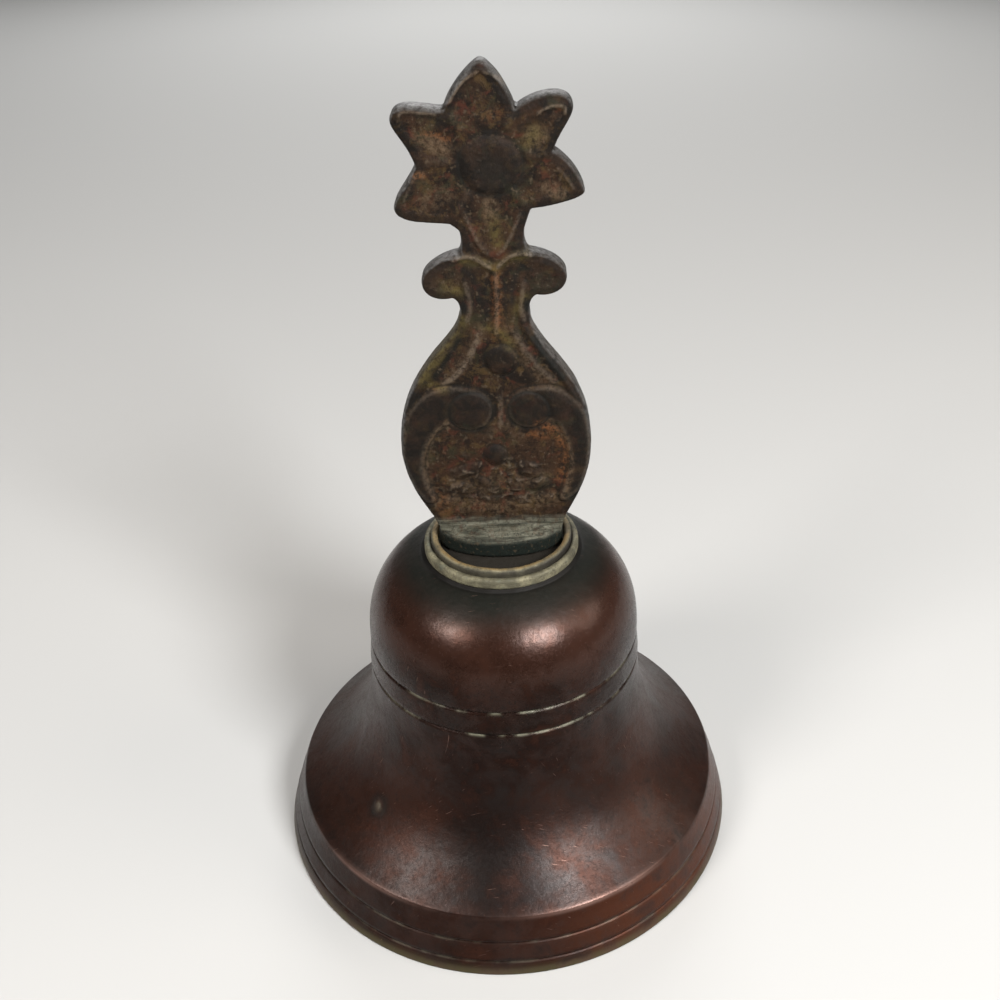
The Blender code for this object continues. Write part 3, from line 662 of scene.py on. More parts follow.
def bell_shell(mat):
    outside = resample(bell_outside(), OUTSIDE_STEP)
    profile = outside + resample(bell_inside(), INSIDE_STEP)
    obj = turned("bell_shell_turned", profile, SHELL_SEGMENTS, [mat])
    points = coords(obj)
    radius = np.hypot(points[:, 0], points[:, 1])
    height = points[:, 2]
    outward = points[:, :2] / radius[:, None]
    unit = np.column_stack([outward * 30, height])
    uneven = fine_noise(unit, 16, 2) * 0.05 + fine_noise(unit, 5, 8) * 0.012
    uneven *= smoothstep(0.2, 2.0, height) * smoothstep(0, 1, np.abs(height - SEAT_Z))
    # A small dent low on the left of the flare, with a raised ring round it.
    from_dent = np.linalg.norm(points - DENT_AT, axis=1)
    from_dent += 0.3 * fine_noise(unit, 1.2, 21)
    dent = around(from_dent, 0, 0.9)
    dent_ring = around(from_dent, 1.7, 0.7)
    points[:, :2] += outward * (uneven - 0.35 * dent + 0.05 * dent_ring)[:, None]
    set_coords(obj, points)

    turn = np.degrees(np.arctan2(outward[:, 0], -outward[:, 1]))
    front = smoothstep(-0.2, 0.9, -outward[:, 1])
    right = smoothstep(0.0, 0.6, outward[:, 0]) * smoothstep(0.9, 0.2, outward[:, 1])
    groove = sum(around(height, z, 0.24) for z in (UPPER_GROOVE_Z, LOWER_GROOVE_Z))
    groove *= (radius > 23) & (radius < 26)
    lip_line = sum(around(height, z - 0.05, 0.20) for z in LIP_LINES) * (radius > 40)
    lip_band = smoothstep(SHOULDER_Z + 0.3, SHOULDER_Z - 0.8, height) * (radius > 38)
    flare_band = smoothstep(34, 26, height) * smoothstep(SHOULDER_Z, SHOULDER_Z + 1.5, height)
    # where the collar sits on the dome, painted in shade
    seat_edge = around(radius, COLLAR_R + 0.3, 0.6) * (height > 55)
    shoulder = around(height, SHOULDER_Z - 0.1, 0.32) * (radius > 38)
    # where the shoulder's painted highlight falls: at the two lamps' azimuths, broken up by noise
    highlight_azimuths = 0.55 * around(turn, -40, 12) + 0.60 * around(turn, 24, 15) + 0.25 * fine_noise(unit, 4, 18)
    rim = around(height, 0.6, 0.6) * (radius > 42)
    upright = smoothstep(0.50, 0.10, np.abs(normals_of(obj)[:, 2]))
    # painted shade: darker towards the front of the flare
    front_shade = flare_band * around(turn, -4, 24)
    paint = {
        "flared": smoothstep(40, 30, height),
        # painted sheen on the upper dome, which is also made smoother
        "dome_sheen": smoothstep(45, 52, height) * smoothstep(59, 55, height),
        "crown_dark": smoothstep(21.5, 15.5, radius) * (height > 52),
        "residue": groove * (0.12 + 0.68 * front) + lip_line * front * 0.24 + 0.9 * dent,
        # painted shade in the grooves and lip lines away from the front, at the collar's seat and round the
        # dent
        "groove_shade": (groove * (1 - front) + 0.6 * lip_line * (1 - front * 0.6) + seat_edge
                        + 0.7 * dent_ring),
        # painted highlight on the shoulder, and wear at the rim and in the dent
        "rub_and_highlight": shoulder * highlight_azimuths + 0.25 * rim + 0.3 * dent,
        "front_shade": front_shade,
        # reddish patina on the lip, mostly on its lit right side, and painted light on the flare's flanks
        "ruddy_lit_side": lip_band * (0.10 + 0.90 * right) + 0.16 * flare_band * (1 - front_shade),
        "rim_green": smoothstep(2.2, 0.6, height) * (radius > 41),
        "inside": np.arange(len(points)) % len(profile) >= len(outside),
        "steep": upright * (0.45 + 0.55 * lip_band),
    }
    for name, values in paint.items():
        add_attribute(obj, name, values)
    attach(obj, "bell")
    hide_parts("bell_shell")


# ---- crown collar -------------------------------------------------------------------------------
COLLAR_BAND = 2.4
COLLAR_RISE = 1.9
COLLAR_SEGMENTS = 220
COLLAR_STEP = 0.35
EASED = 0.2


def crown_collar(mat):
    """Two beads round a recess for the handle's foot, knocked about along their tops."""
    base = COLLAR_Z
    floor_z = FOOT_Z - 0.3
    recess_r = COLLAR_R - COLLAR_BAND
    bead = COLLAR_BAND / 4

    def arc(center, top):
        turns = np.linspace(0.1, math.pi - 0.1, 12)
        return [(center - bead * math.cos(a), top - bead * (1 - math.sin(a))) for a in turns]

    profile = [(HOLE_R, floor_z), (recess_r - EASED, floor_z), (recess_r, floor_z + EASED)]
    profile += arc(recess_r + bead, edges("crown_collar")[1][2])
    profile += arc(COLLAR_R - bead, base + COLLAR_RISE)
    profile += [(COLLAR_R, base + EASED), (COLLAR_R - EASED, base), (HOLE_R, base)]
    obj = turned("crown_collar_turned", resample(profile, COLLAR_STEP), COLLAR_SEGMENTS, [mat])
    points = coords(obj)
    radius = np.hypot(points[:, 0], points[:, 1])
    top = points[:, 2] > floor_z + 0.3
    dents = fine_noise(points, 2.2, 5) * 0.10 + fine_noise(points, 0.9, 6) * 0.04
    points[:, 2] += np.where(top, np.minimum(dents - 0.06, 0), 0)
    set_coords(obj, points)
    # Painted shade between the beads, on the recess floor under the foot, and darker towards +x.
    valley = around(radius, recess_r + 2 * bead, 0.16) * top
    floor = (radius < recess_r - 0.1) * (points[:, 2] > base + 0.5)
    add_attribute(obj, "cavity_shade", 0.75 * valley + floor + 0.3 * smoothstep(3, 12, points[:, 0]))
    add_attribute(obj, "ochre", smoothstep(recess_r + 2 * bead, recess_r + bead, radius) * top)
    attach(obj, "bell")
    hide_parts("crown_collar")


# ---- handle -------------------------------------------------------------------------------------
# The plate is drawn in millimetres: x, and height above the foot's underside. It has the CAD's outline.
PLATE_HALF = 2.2
EDGE_ROUND = 1.1
FIELD_HALF = 1.88
FOOT_SIZE = (10.7, 5.8)
FOOT_SEGMENTS = 120
CAST_VOXEL = 0.2
SKEW = 0.03
FLOWER_CENTER = (-0.2, 66.3)
# Petals: angle, length, how blunt the tip is, and how full each side is.
PETALS = [(-21, 14.9, 1.0, (0.8, 1.6)), (33.3, 14.2, 2.1, (0.0, 1.9)), (93, 13.6, 1.0, (1.3, 1.6)),
          (153, 14.95, 2.1, (0.6, -0.5)), (208, 15.45, 1.95, (0.0, 0.5))]
# Notches between petals: angle and distance from the flower's centre.
NOTCHES = [(-51, 9.6), (6, 9.45), (60, 8.05), (130, 9.4), (182.5, 10.4), (237.5, 11.0)]
SWAY_HEIGHTS = (5, 19, 36, 43, 51, 59)
SWAY = (0.2, -0.3, -0.5, 0.15, 0.25, 0.0)


def polar(center, angle, length):
    angle = math.radians(angle)
    return (center[0] + length * math.cos(angle), center[1] + length * math.sin(angle))


def petal_side(notch, tip, tip_angle, blunt, full, side):
    """From a notch out to a petal's tip. Side is +1 where the notch lies clockwise of the tip."""
    notch, tip = np.array(notch), np.array(tip)
    across = np.array([math.sin(math.radians(tip_angle)), -math.cos(math.radians(tip_angle))]) * side
    bulge = notch + 0.45 * (tip - notch) + full * across
    return bezier(notch, bulge, tip + blunt * across, tip, 16)


def half_outline():
    """The right edge of the plate from its base to the flower: pear, waist, volute and neck."""
    foot = FOOT_SIZE[0]
    edge = [(foot - 0.8, 1.2), (foot - 0.1, 4.5)]
    edge += bezier(edge[-1], (foot + 2.7, 9.4), (15.6, 13.5), (15.6, 19.5), 18)
    edge += bezier(edge[-1], (15.6, 32.9), (5.9, 37.1), (5.5, 42.3), 22)
    edge += bezier(edge[-1], (5.2, 43.2), (5.2, 44.9), (6.4, 45.5), 8)
    edge += bezier(edge[-1], (8.6, 45.0), (11.1, 46.0), (11.0, 48.4), 14)
    edge += bezier(edge[-1], (11.0, 50.2), (8.3, 52.0), (5.2, 52.5), 14)
    edge += bezier(edge[-1], (4.6, 53.6), (4.6, 55.0), (4.8, 56.0), 6)
    return edge


def plate_outline():
    """The whole outline, anticlockwise seen from the front."""
    right = half_outline()
    outline = list(right)
    notches = [polar(FLOWER_CENTER, *notch) for notch in NOTCHES]
    outline.append(notches[0])
    for i, (angle, length, blunt, full) in enumerate(PETALS):
        tip = polar(FLOWER_CENTER, angle, length)
        outline += petal_side(notches[i], tip, angle, blunt, full[0], 1)
        outline += petal_side(notches[i + 1], tip, angle, blunt, full[1], -1)[-2::-1] + [notches[i + 1]]
    outline += [(-x, z) for x, z in reversed(right)]
    sway = np.interp([z for x, z in outline], SWAY_HEIGHTS, SWAY)
    return np.array([(x + aside, z + SKEW * x) for (x, z), aside in zip(outline, sway)])


def spline(points, steps=8):
    """A smooth curve through the points (Catmull-Rom)."""
    points = np.array(points, float)
    padded = np.vstack([2 * points[0] - points[1], points, 2 * points[-1] - points[-2]])
    out = [points[0]]
    for a, b, c, d in zip(padded, padded[1:], padded[2:], padded[3:]):
        for t in np.linspace(0, 1, steps + 1)[1:]:
            out.append(0.5 * (2 * b + (c - a) * t + (2 * a - 5 * b + 4 * c - d) * t ** 2
                              + (3 * b - 3 * c + d - a) * t ** 3))
    return np.array(out)


def distance_to(line, points, closed=False):
    """Each point's distance to a polyline, and the share of the way along it."""
    starts = line if closed else line[:-1]
    ends = np.roll(line, -1, axis=0) if closed else line[1:]
    along = ends - starts
    length = (along ** 2).sum(1)
    best = np.full(len(points), np.inf)
    share = np.zeros(len(points))
    for i, (start, step, square) in enumerate(zip(starts, along, length)):
        t = np.clip((points - start) @ step / max(square, 1e-9), 0, 1)
        gap = points - start - t[:, None] * step
        gap = np.hypot(gap[:, 0], gap[:, 1])
        nearer = gap < best
        best[nearer] = gap[nearer]
        share[nearer] = (i + t[nearer]) / len(starts)
    return best, share


HANDLE_PAINT = ("cavity_shade", "hollow", "crest", "raised", "orange", "ochre")


class Relief:
    """The plate's half thickness, in millimetres, built up feature by feature. It also gathers where shade
    is painted in creases and recesses, where residue fills hollows, and where crests are worn lighter and
    given painted highlights."""

    def __init__(self, points):
        self.points = points
        self.height = np.full(len(points), FIELD_HALF)
        for name in HANDLE_PAINT:
            setattr(self, name, np.zeros(len(points)))

    def near(self, route, reach):
        low, high = route.min(0) - reach, route.max(0) + reach
        return np.flatnonzero(((self.points > low) & (self.points < high)).all(1))

    def ridge(self, points, width, rise, rub_and_highlight=0.5, taper=0.12):
        route = spline(points)
        at = self.near(route, 3 * width)
        gap, share = distance_to(route, self.points[at])
        ends = smoothstep(0, taper, share) * smoothstep(0, taper, 1 - share)
        shape = np.exp(-(gap / width) ** 2) * (0.35 + 0.65 * ends)
        self.height[at] += rise * shape
        # the crest is painted lighter: wear, and a painted highlight
        self.crest[at] = np.maximum(self.crest[at], rub_and_highlight * smoothstep(0.55, 1, shape))

    def groove(self, points, width, depth, crease_shade=0.8):
        route = spline(points)
        at = self.near(route, 3 * width)
        gap, share = distance_to(route, self.points[at])
        ends = smoothstep(0, 0.15, share) * smoothstep(0, 0.15, 1 - share)
        shape = np.exp(-(gap / width) ** 2) * ends
        self.height[at] -= depth * shape
        # painted shade along the groove
        self.cavity_shade[at] = np.maximum(self.cavity_shade[at], crease_shade * shape)

    def body(self, points, half_widths, top, rim=0.35):
        """A raised body with a rounded section that follows a route."""
        route = spline(points)
        at = self.near(route, max(half_widths) + 1)
        gap, share = distance_to(route, self.points[at])
        half = np.interp(share, np.linspace(0, 1, len(half_widths)), half_widths)
        q = np.clip(gap / half, 0, 1)
        self.raised[at] = np.maximum(self.raised[at], smoothstep(1.0, 0.8, q))
        lift = (top - 1.7) * np.sqrt(1 - q ** 3.2)
        self.height[at] = np.maximum(self.height[at], np.where(gap < half, 1.7 + lift, 0))
        # a shallow moat round the body, painted in shade
        skirt = np.exp(-((gap - half - 0.12) / 0.22) ** 2)
        self.height[at] -= 0.10 * skirt
        self.cavity_shade[at] = np.maximum(self.cavity_shade[at], 0.7 * skirt * (gap > half - 0.1))
        # a lighter crest inside the rim: wear, and a painted highlight
        self.crest[at] = np.maximum(self.crest[at], rim * np.exp(-((gap - half + 0.55) / 0.3) ** 2))

    def oval(self, center, size, tilt):
        turn = math.radians(tilt)
        offset = self.points - np.array(center)
        along = offset @ (math.cos(turn), math.sin(turn)) / size[0]
        across = offset @ (-math.sin(turn), math.cos(turn)) / size[1]
        return np.hypot(along, across)

    def dome(self, center, size, top, tilt=0, ring=0.14, power=2.0, dark=0.9):
        q = self.oval(center, size, tilt)
        base = 1.75
        lift = (top - base) * np.sqrt(1 - np.clip(q, 0, 1) ** power)
        # a shallow moat round the dome, painted in shade
        moat = ring * np.exp(-((q - 1.10) / 0.11) ** 2)
        self.height = np.maximum(self.height - moat, np.where(q < 1, base + lift, 0))
        self.cavity_shade = np.maximum(self.cavity_shade, min(1, 5 * ring) * np.exp(-((q - 1.06) / 0.08) ** 2))
        self.raised = np.maximum(self.raised, dark * smoothstep(1.02, 0.9, q))

    def stain(self, points, width, amount=1.0, field="orange"):
        route = spline(points)
        at = self.near(route, 3 * width)
        gap, _ = distance_to(route, self.points[at])
        target = getattr(self, field)
        target[at] = np.maximum(target[at], amount * np.exp(-(gap / width) ** 2))

    def dish(self, center, size, depth, tilt=0, residue=0.9, crease_shade=0.0):
        q = self.oval(center, size, tilt)
        shape = smoothstep(1.25, 0.35, q)
        self.height -= depth * shape
        self.hollow = np.maximum(self.hollow, residue * smoothstep(1.1, 0.5, q))
        # painted shade in the dish
        self.cavity_shade = np.maximum(self.cavity_shade, crease_shade * shape)


# Leaf lobes at the foot of the pear: centre, half sizes, tilt in degrees, height of the top.
LEAVES = [
    ((-5.2, 15.0), (2.7, 1.3), 24, 2.20), ((-6.4, 11.6), (2.5, 1.2), -8, 2.18),
    ((-2.4, 12.6), (1.6, 0.9), -40, 2.16), ((5.0, 14.9), (2.3, 1.5), -32, 2.18),
    ((6.6, 12.2), (2.2, 1.2), 18, 2.20), ((2.6, 12.0), (1.1, 1.5), 12, 2.16),
    ((-8.4, 9.0), (1.4, 0.8), 30, 2.12), ((8.2, 9.4), (1.5, 0.8), -22, 2.12),
    ((-1.0, 9.2), (1.8, 0.8), 9, 2.12), ((3.6, 9.0), (1.4, 0.7), -12, 2.12),
]
CHISEL_SEED = 23
CHISEL_STROKES = 46


def chisel_strokes(r):
    """Short bent strokes between the leaves, none of them alike."""
    chisel = np.random.default_rng(CHISEL_SEED)
    for _ in range(CHISEL_STROKES):
        start = np.array([chisel.uniform(-9.0, 9.0), chisel.uniform(8.2, 17.6)])
        heading = chisel.uniform(0, math.tau)
        bend = chisel.uniform(-0.9, 0.9)
        step = 0.5 * chisel.uniform(0.8, 2.0)
        route = [start]
        for _ in range(3):
            route.append(route[-1] + step * np.array([math.cos(heading), 0.7 * math.sin(heading)]))
            heading += bend
        if np.abs(route[-1][0]) < 9.6 and 7.6 < route[-1][1] < 18.4:
            width, rise, rub_and_highlight = (chisel.uniform(*span) for span in ((0.2, 0.34), (0.08, 0.24), (0.2, 0.9)))
            r.ridge(route, width, rise, rub_and_highlight)


def handle_relief(points):
    """Every feature of the casting, from the flower down to the foot."""
    r = Relief(points)
    r.height += smoothstep(57.0, 59.5, points[:, 1]) * 0.05
    for angle, distance in NOTCHES:
        fold = [polar(FLOWER_CENTER, angle, 5.0), polar(FLOWER_CENTER, angle, distance - 1.0)]
        r.ridge(fold, 0.8, 0.20, 0.1)
    r.dish((-7.6, 68.6), (3.2, 1.7), 0.60, -24)
    r.dish((-8.0, 60.8), (3.6, 1.8), 0.55, 18, 0.4)
    r.dish((0.3, 73.0), (2.0, 1.5), 0.40, 0, 0.12)
    r.dish((6.6, 69.6), (2.2, 1.7), 0.45, 32, 0.8)
    r.dish((9.2, 61.8), (2.6, 1.5), 0.42, -22, 0.7)
    r.dish((-9.9, 64.3), (1.2, 0.6), 0.25, 20, 0.8)
    r.dish((0.0, 58.9), (1.5, 3.1), 0.50, 4, 0.8)
    r.dome((0.2, 65.6), (4.4, 4.3), 2.42, ring=0.14, power=3.0)
    r.dish((0.6, 65.0), (2.9, 2.8), 0.22, 0, 0.0, 0.6)
    # crests just inside the edges that face up, painted lighter as highlights
    for side in (-1, 1):
        crest = [(93 + 33 * side, 9.2), (93 + 14 * side, 11.1), (93, 12.3)]
        r.ridge([polar(FLOWER_CENTER, *point) for point in crest], 0.36, 0.34, 1.0)
    r.ridge([(-12.6, 71.4), (-11.9, 73.0), (-9.0, 72.9), (-6.6, 72.6)], 0.34, 0.22, 0.7)
    r.ridge([(10.8, 72.2), (10.6, 73.6), (8.6, 73.6), (6.4, 72.4)], 0.34, 0.24, 0.9)
    r.ridge([(12.3, 61.6), (10.9, 63.8), (9.4, 65.4)], 0.34, 0.16, 0.4)
    r.ridge([(-12.6, 60.0), (-11.6, 62.4), (-10.4, 64.4)], 0.34, 0.16, 0.4)
    # the lowest petal, over the neck
    r.ridge([(-4.2, 59.4), (-3.2, 56.8), (-1.8, 53.8), (-0.2, 51.9)], 0.50, 0.28)
    r.ridge([(4.5, 59.2), (3.4, 56.4), (2.0, 53.6), (0.4, 51.9)], 0.50, 0.26)
    # volutes
    r.dish((-7.6, 48.4), (3.2, 2.1), 0.42, 28, 0.10, 0.3)
    r.dish((7.6, 48.8), (3.2, 2.0), 0.38, -18, 0.0, 0.4)
    r.ridge([(-6.4, 51.2), (-4.9, 51.9), (-3.0, 51.9), (-1.2, 50.9), (0.2, 49.9)], 0.52, 0.42, 0.9)
    r.ridge([(6.4, 52.0), (4.9, 52.4), (3.0, 52.2), (1.5, 51.2), (0.4, 49.9)], 0.52, 0.42, 0.9)
    r.groove([(-5.2, 50.4), (-3.6, 49.4), (-2.3, 47.0), (-2.2, 43.4)], 0.55, 0.40)
    r.groove([(5.2, 50.8), (3.8, 49.6), (2.9, 47.0), (2.8, 43.4)], 0.55, 0.38)
    r.dish((-6.6, 47.6), (1.1, 0.8), 0.15, 0, 0.9)
    r.ridge([(-4.4, 48.6), (-3.8, 46.0), (-3.7, 43.6), (-4.4, 41.0)], 0.7, 0.22)
    r.ridge([(4.8, 48.8), (4.4, 46.0), (4.2, 43.6), (4.8, 41.0)], 0.7, 0.22)
    # the rib down the waist
    r.ridge([(0.3, 50.6), (0.5, 47.0), (0.4, 43.0), (0.2, 38.2)], 0.62, 0.36, 0.4)
    r.groove([(-1.2, 48.4), (-1.1, 44.0), (-1.6, 40.2)], 0.34, 0.20, 0.6)
    r.groove([(1.9, 48.4), (1.8, 44.0), (2.2, 40.2)], 0.34, 0.20, 0.6)
    r.dish((-4.6, 43.9), (0.9, 1.3), 0.45, 0, 0, 1.0)
    r.dish((5.2, 44.2), (0.9, 1.3), 0.45, 0, 0, 1.0)
    # top of the pear
    r.ridge([(-1.9, 41.0), (-3.6, 36.6), (-6.3, 32.6), (-9.4, 30.3)], 0.85, 0.26, 0.7)
    r.ridge([(2.6, 41.0), (4.6, 36.8), (7.4, 33.0), (10.2, 30.4)], 0.85, 0.24, 0.5)
    r.groove([(-5.0, 39.6), (-6.4, 37.2), (-8.4, 34.0), (-10.4, 31.6)], 0.60, 0.38, 1.0)
    r.groove([(5.8, 39.8), (7.0, 37.0), (9.2, 33.8), (11.2, 30.6)], 0.60, 0.36, 1.0)
    r.dome((0.9, 35.0), (2.6, 2.6), 2.52, power=2.6, dark=0.45)
    # scrolls
    r.body([(-4.3, 26.4), (-8.3, 27.0), (-11.6, 24.8), (-13.4, 20.8), (-14.0, 16.5), (-13.1, 12.6),
            (-11.5, 9.6)],
           [3.9, 3.7, 3.2, 2.4, 1.8, 1.5, 1.0], 2.42)
    r.body([(5.1, 26.5), (8.6, 27.2), (11.6, 25.2), (13.1, 21.0), (13.3, 16.5), (12.4, 12.4), (10.9, 9.8)],
           [3.7, 3.3, 2.7, 2.3, 1.9, 1.7, 1.1], 2.42)
    r.dome((-4.2, 26.0), (3.3, 3.3), 2.62, ring=0.18, power=2.6)
    r.dome((5.1, 26.1), (3.15, 3.15), 2.62, ring=0.18, power=2.6)
    r.ridge([(0.5, 29.2), (0.6, 26.4), (0.5, 22.4)], 0.75, 0.20)
    r.dome((-0.5, 17.9), (1.9, 1.9), 2.36, power=2.6)
    # the palmette at the foot of the pear
    for center, size, tilt, top in LEAVES:
        r.dome(center, size, top, tilt, ring=0.07, power=2.0, dark=0.55)
    chisel_strokes(r)
    r.stain([(6.6, 23.6), (9.4, 22.2), (10.9, 18.4), (10.5, 13.2)], 0.9)
    r.stain([(5.4, 21.6), (7.8, 21.4)], 0.9, 0.8)
    r.stain([(-0.2, 72.2), (1.5, 72.8)], 0.8, 0.45)
    r.stain([(-10.6, 64.0), (-9.4, 64.4)], 0.5)
    r.stain([(-9.4, 70.0), (-7.4, 70.0), (-5.6, 69.2)], 0.5, 0.8)
    r.stain([(-10.2, 10.4), (-9.2, 7.4)], 1.2, 0.5)
    r.stain([(0.4, 50.0), (0.5, 44.0), (0.3, 39.0)], 0.8, 0.9)
    r.stain([(-1.0, 40.6), (1.2, 39.4), (2.4, 37.6)], 0.9, 0.8, "ochre")
    r.stain([(-5.4, 42.0), (-8.2, 37.2), (-11.8, 32.2)], 1.3, 1.0, "ochre")
    r.stain([(-10.4, 31.0), (-8.2, 30.2)], 0.6, 1.0, "ochre")
    r.stain([(-7.0, 47.4), (-5.4, 46.6)], 1.0, 0.8, "ochre")
    r.stain([(0.4, 57.2), (0.9, 53.8)], 0.9, 0.8, "ochre")
    r.stain([(-4.4, 51.4), (-1.6, 51.2), (0.2, 50.2), (2.0, 51.4), (5.0, 52.4)], 0.7, 0.8, "ochre")
    r.stain([(6.6, 70.2), (5.6, 68.8)], 1.1, 0.7, "ochre")
    r.stain([(3.4, 43.4), (4.6, 45.6)], 0.9, 0.7, "ochre")
    r.stain([(-10.0, 30.4), (-8.6, 30.6)], 0.5, 0.8)
    for side in (-1, 1):
        r.stain([(8.0 * side, 24.4), (10.6 * side, 21.6), (11.9 * side, 17.4), (11.6 * side, 12.4),
                 (10.2 * side, 9.0)], 0.55, 0.8, "hollow")
        r.stain([(2.0 * side, 40.5), (4.2 * side, 36.0), (7.0 * side, 32.0), (9.2 * side, 30.2)], 0.8, 0.6,
                "hollow")
        r.stain([(6.0 * side, 40.8), (9.6 * side, 36.0), (12.2 * side, 32.0)], 0.7, 0.5, "hollow")
    r.stain([(-1.2, 22.0), (0.6, 23.6), (3.4, 21.6)], 1.2, 0.35, "hollow")
    r.stain([(-8.6, 9.0), (0.0, 7.6), (8.6, 9.4)], 1.5, 0.7, "hollow")
    r.stain([(-7.0, 13.2), (-3.0, 11.4), (0.4, 13.6), (4.0, 12.0), (7.4, 13.6)], 1.6, 0.42, "hollow")
    r.groove([(0.4, 10.4), (0.9, 12.2), (1.8, 13.8), (2.2, 15.2)], 0.16, 0.14, 0.0)
    return r


def plate_block():
    """The outline given its full thickness, with upright sides."""
    outline = plate_outline()
    count = len(outline)
    front = [(x, -PLATE_HALF, z + FOOT_Z) for x, z in outline]
    back = [(x, PLATE_HALF, z + FOOT_Z) for x, z in outline]
    faces = [tuple(range(count)), tuple(range(2 * count - 1, count - 1, -1))]
    faces += [(i, i + count, (i + 1) % count + count, (i + 1) % count) for i in range(count)]
    return new_object("plate_block", front + back, faces, [])


def foot_block():
    """The oval foot: an upright side, an eased edge and a sloping top."""
    wide = FOOT_SIZE[0]
    corner = [(0.0, 4.5), (0.66 * wide, 4.4), (wide - 0.4, 3.1), (wide, 2.5), (wide, 0.0), (0.0, 0.0)]
    profile = rounded(corner, [1.6, 0.6, 0.4, 0.3], 7)
    foot = turned("foot_block", [(r, z + FOOT_Z) for r, z in profile], FOOT_SEGMENTS, [], closed=False)
    points = coords(foot)
    points[:, 1] *= FOOT_SIZE[1] / FOOT_SIZE[0]
    set_coords(foot, points)
    return foot


def fused(objects, name, mat):
    """One closed skin round several overlapping solids, with its voxels smoothed away."""
    work = bmesh.new()
    for obj in objects:
        work.from_mesh(obj.data)
        bpy.data.objects.remove(obj, do_unlink=True)
    bmesh.ops.recalc_face_normals(work, faces=work.faces)
    bmesh.ops.triangulate(work, faces=work.faces)
    mesh = bpy.data.meshes.new(name + "_parts")
    work.to_mesh(mesh)
    work.free()
    rough = linked(name + "_parts", mesh)
    mod = rough.modifiers.new("Remesh", "REMESH")
    mod.mode = "VOXEL"
    mod.voxel_size = CAST_VOXEL * MM
    graph = bpy.context.evaluated_depsgraph_get()
    skin = bpy.data.meshes.new_from_object(rough.evaluated_get(graph), depsgraph=graph)
    bpy.data.objects.remove(rough, do_unlink=True)
    work = bmesh.new()
    work.from_mesh(skin)
    for _ in range(2):
        bmesh.ops.smooth_vert(work, verts=work.verts, factor=0.5, use_axis_x=True, use_axis_y=True,
                              use_axis_z=True)
    work.to_mesh(skin)
    work.free()
    skin.name = name
    skin.shade_smooth()
    skin.materials.append(mat)
    return linked(name, skin)


def handle(mat):
    obj = fused([plate_block(), foot_block()], "handle_cast", mat)
    points = coords(obj)
    flat = np.column_stack([points[:, 0], points[:, 2] - FOOT_Z])
    up = flat[:, 1]
    edge, _ = distance_to(plate_outline(), flat, closed=True)
    r = handle_relief(flat)
    # a rounded rim follows the outline, with a low crest just inside it
    band = smoothstep(22, 30, up) * smoothstep(44, 40, up)
    r.height = np.maximum(r.height, FIELD_HALF + (0.12 + 0.22 * band) * around(edge, 1.2, 0.5))
    r.raised = np.maximum(r.raised, 0.85 * smoothstep(1.9, 0.9, edge) * (1 - 0.7 * r.crest))
    r.height += fine_noise(points, 1.3, 3) * 0.05 + fine_noise(points, 0.55, 4) * 0.03
    r.height += fine_noise(points * (1, 1, 5), 1.6, 9) * 0.07 * smoothstep(11, 7, up)
    r.height += fine_noise(points, 0.9, 12) * 0.10 * smoothstep(16, 9, up)
    q = np.clip(edge / EDGE_ROUND, 0, 1)
    limit = PLATE_HALF - EDGE_ROUND + EDGE_ROUND * np.sqrt(1 - (1 - q) ** 2)
    height = np.minimum(r.height, limit + 0.25 * q)
    share = smoothstep(4.6, 6.2, up)
    points[:, 1] *= 1 + share * (height / PLATE_HALF - 1)
    points += fine_noise(points, 2.5, 7)[:, None] * 0.05 * np.array([1, 0, 1]) * share[:, None]
    set_coords(obj, points)
    normals = normals_of(obj)
    # Painted reflection: edges that face up, more on the left, are painted pale grey as if catching light
    # from above.
    sheen_mask = smoothstep(0.35, 1.0, np.abs(normals[:, 0]) * 0.75 + normals[:, 2])
    sheen_mask *= smoothstep(0.9, 0.4, edge) * (0.55 + 0.45 * smoothstep(4, -6, flat[:, 0]))
    for name in HANDLE_PAINT:
        add_attribute(obj, name, getattr(r, name) * share)
    add_attribute(obj, "edge_sheen", sheen_mask * share * (1 - 0.8 * r.ochre))
    # The foot's ledge is painted pale as if lit from above.
    add_attribute(obj, "ledge_grey_and_sheen", smoothstep(6.2, 4.6, up + fine_noise(points, 1.5, 15) * 0.6))
    # Its upright side is painted dark as if in shade.
    add_attribute(obj, "foot_side_shade", smoothstep(3.3, 2.2, up + fine_noise(points, 2.0, 16) * 0.3))
    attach(obj, "bell")
    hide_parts("handle")


# ---- fixings and clapper ------------------------------------------------------------------------
BALL_BORE_R = 1.7
BALL_SEGMENTS = 120
BALL_STEP = 0.6


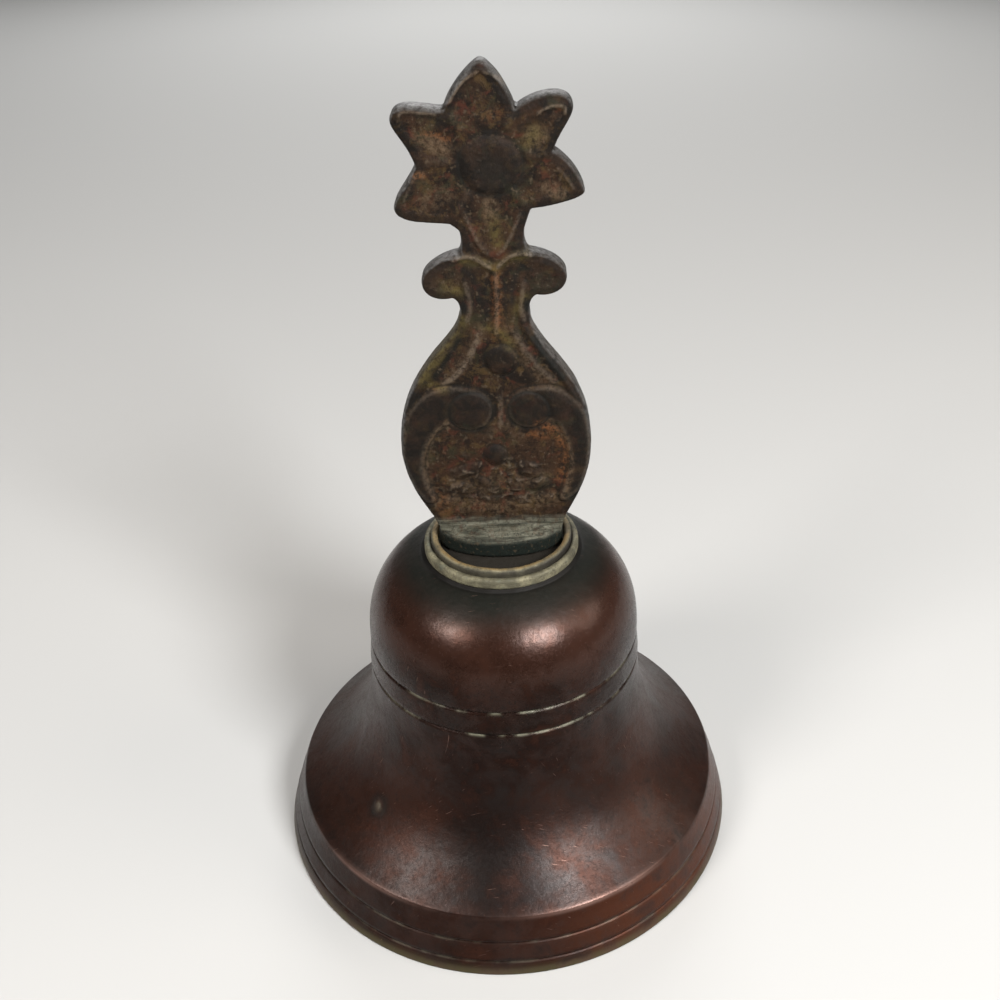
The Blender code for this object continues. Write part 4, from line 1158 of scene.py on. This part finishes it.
def clapper_ball(mat):
    """A turned brass ball, dented a little and flattened where it strikes."""
    low, high = edges("clapper_ball")
    ball_r = (high[0] - low[0]) / 2
    middle = (low[2] + high[2]) / 2
    flat = (high[2] - low[2]) / 2
    start = math.acos(flat / ball_r)
    turns = np.linspace(start, math.pi - start, 60)
    profile = [(BALL_BORE_R, middle + flat)]
    profile += [(ball_r * math.sin(a), middle + ball_r * math.cos(a)) for a in turns]
    profile.append((BALL_BORE_R, middle - flat))
    obj = turned("clapper_ball_turned", resample(profile, BALL_STEP), BALL_SEGMENTS, [mat])
    points = coords(obj)
    struck = smoothstep(ball_r - 0.5, ball_r - 0.1, np.abs(points[:, 0]))
    dents = np.maximum(fine_noise(points, 1.1, 4), 0) * 0.10
    dents += np.maximum(fine_noise(points, 3.0, 5), 0) * 0.05
    radius = np.hypot(points[:, 0], points[:, 1])
    inward = (0.18 * struck + dents) * (radius > BALL_BORE_R + 0.4)
    points[:, :2] *= (1 - inward / radius)[:, None]
    set_coords(obj, points)
    # painted shade round the bore
    add_attribute(obj, "cavity_shade", smoothstep(3.2, 2.5, radius) * 0.6)
    add_attribute(obj, "ochre", struck)
    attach(obj, "clapper")
    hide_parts("clapper_ball")


def dress(mat, *nodes):
    """Gives carried-over CAD pieces their own finish."""
    for node in nodes:
        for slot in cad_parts[node].material_slots:
            slot.material = mat


def fixings():
    steel = plain_steel("fixing_steel", (0.30, 0.285, 0.27), (0.115, 0.108, 0.10), (0.15, 0.062, 0.028),
                        0.85)
    iron = plain_steel("clapper_iron", (0.085, 0.074, 0.066), (0.032, 0.028, 0.026), (0.11, 0.042, 0.020),
                       0.7)
    dress(steel, "hanger_bolt", "steel_washer", "clamp_nut")
    dress(iron, "clapper_fork", "fork_pin", "clapper_rod")
    dress(leather(), "leather_washer")
    dress(worn_brass("swivel_brass", (0.36, 0.30, 0.15), (0.15, 0.12, 0.06), (0.10, 0.12, 0.085),
                     (0.38, 0.62), 0.6), "swivel_washer")
    clapper_ball(worn_brass("clapper_brass", (0.42, 0.30, 0.115), (0.17, 0.115, 0.045), (0.10, 0.085, 0.045),
                            (0.28, 0.5), 0.85))


bpy.context.scene.view_settings.view_transform = "Standard"
camera()
stage()
bell_shell(patinated_bronze())
crown_collar(worn_brass("collar_brass", (0.235, 0.215, 0.135), (0.080, 0.073, 0.045), (0.100, 0.112, 0.080),
                        (0.55, 0.8), 0.25))
handle(cast_bronze())
fixings()
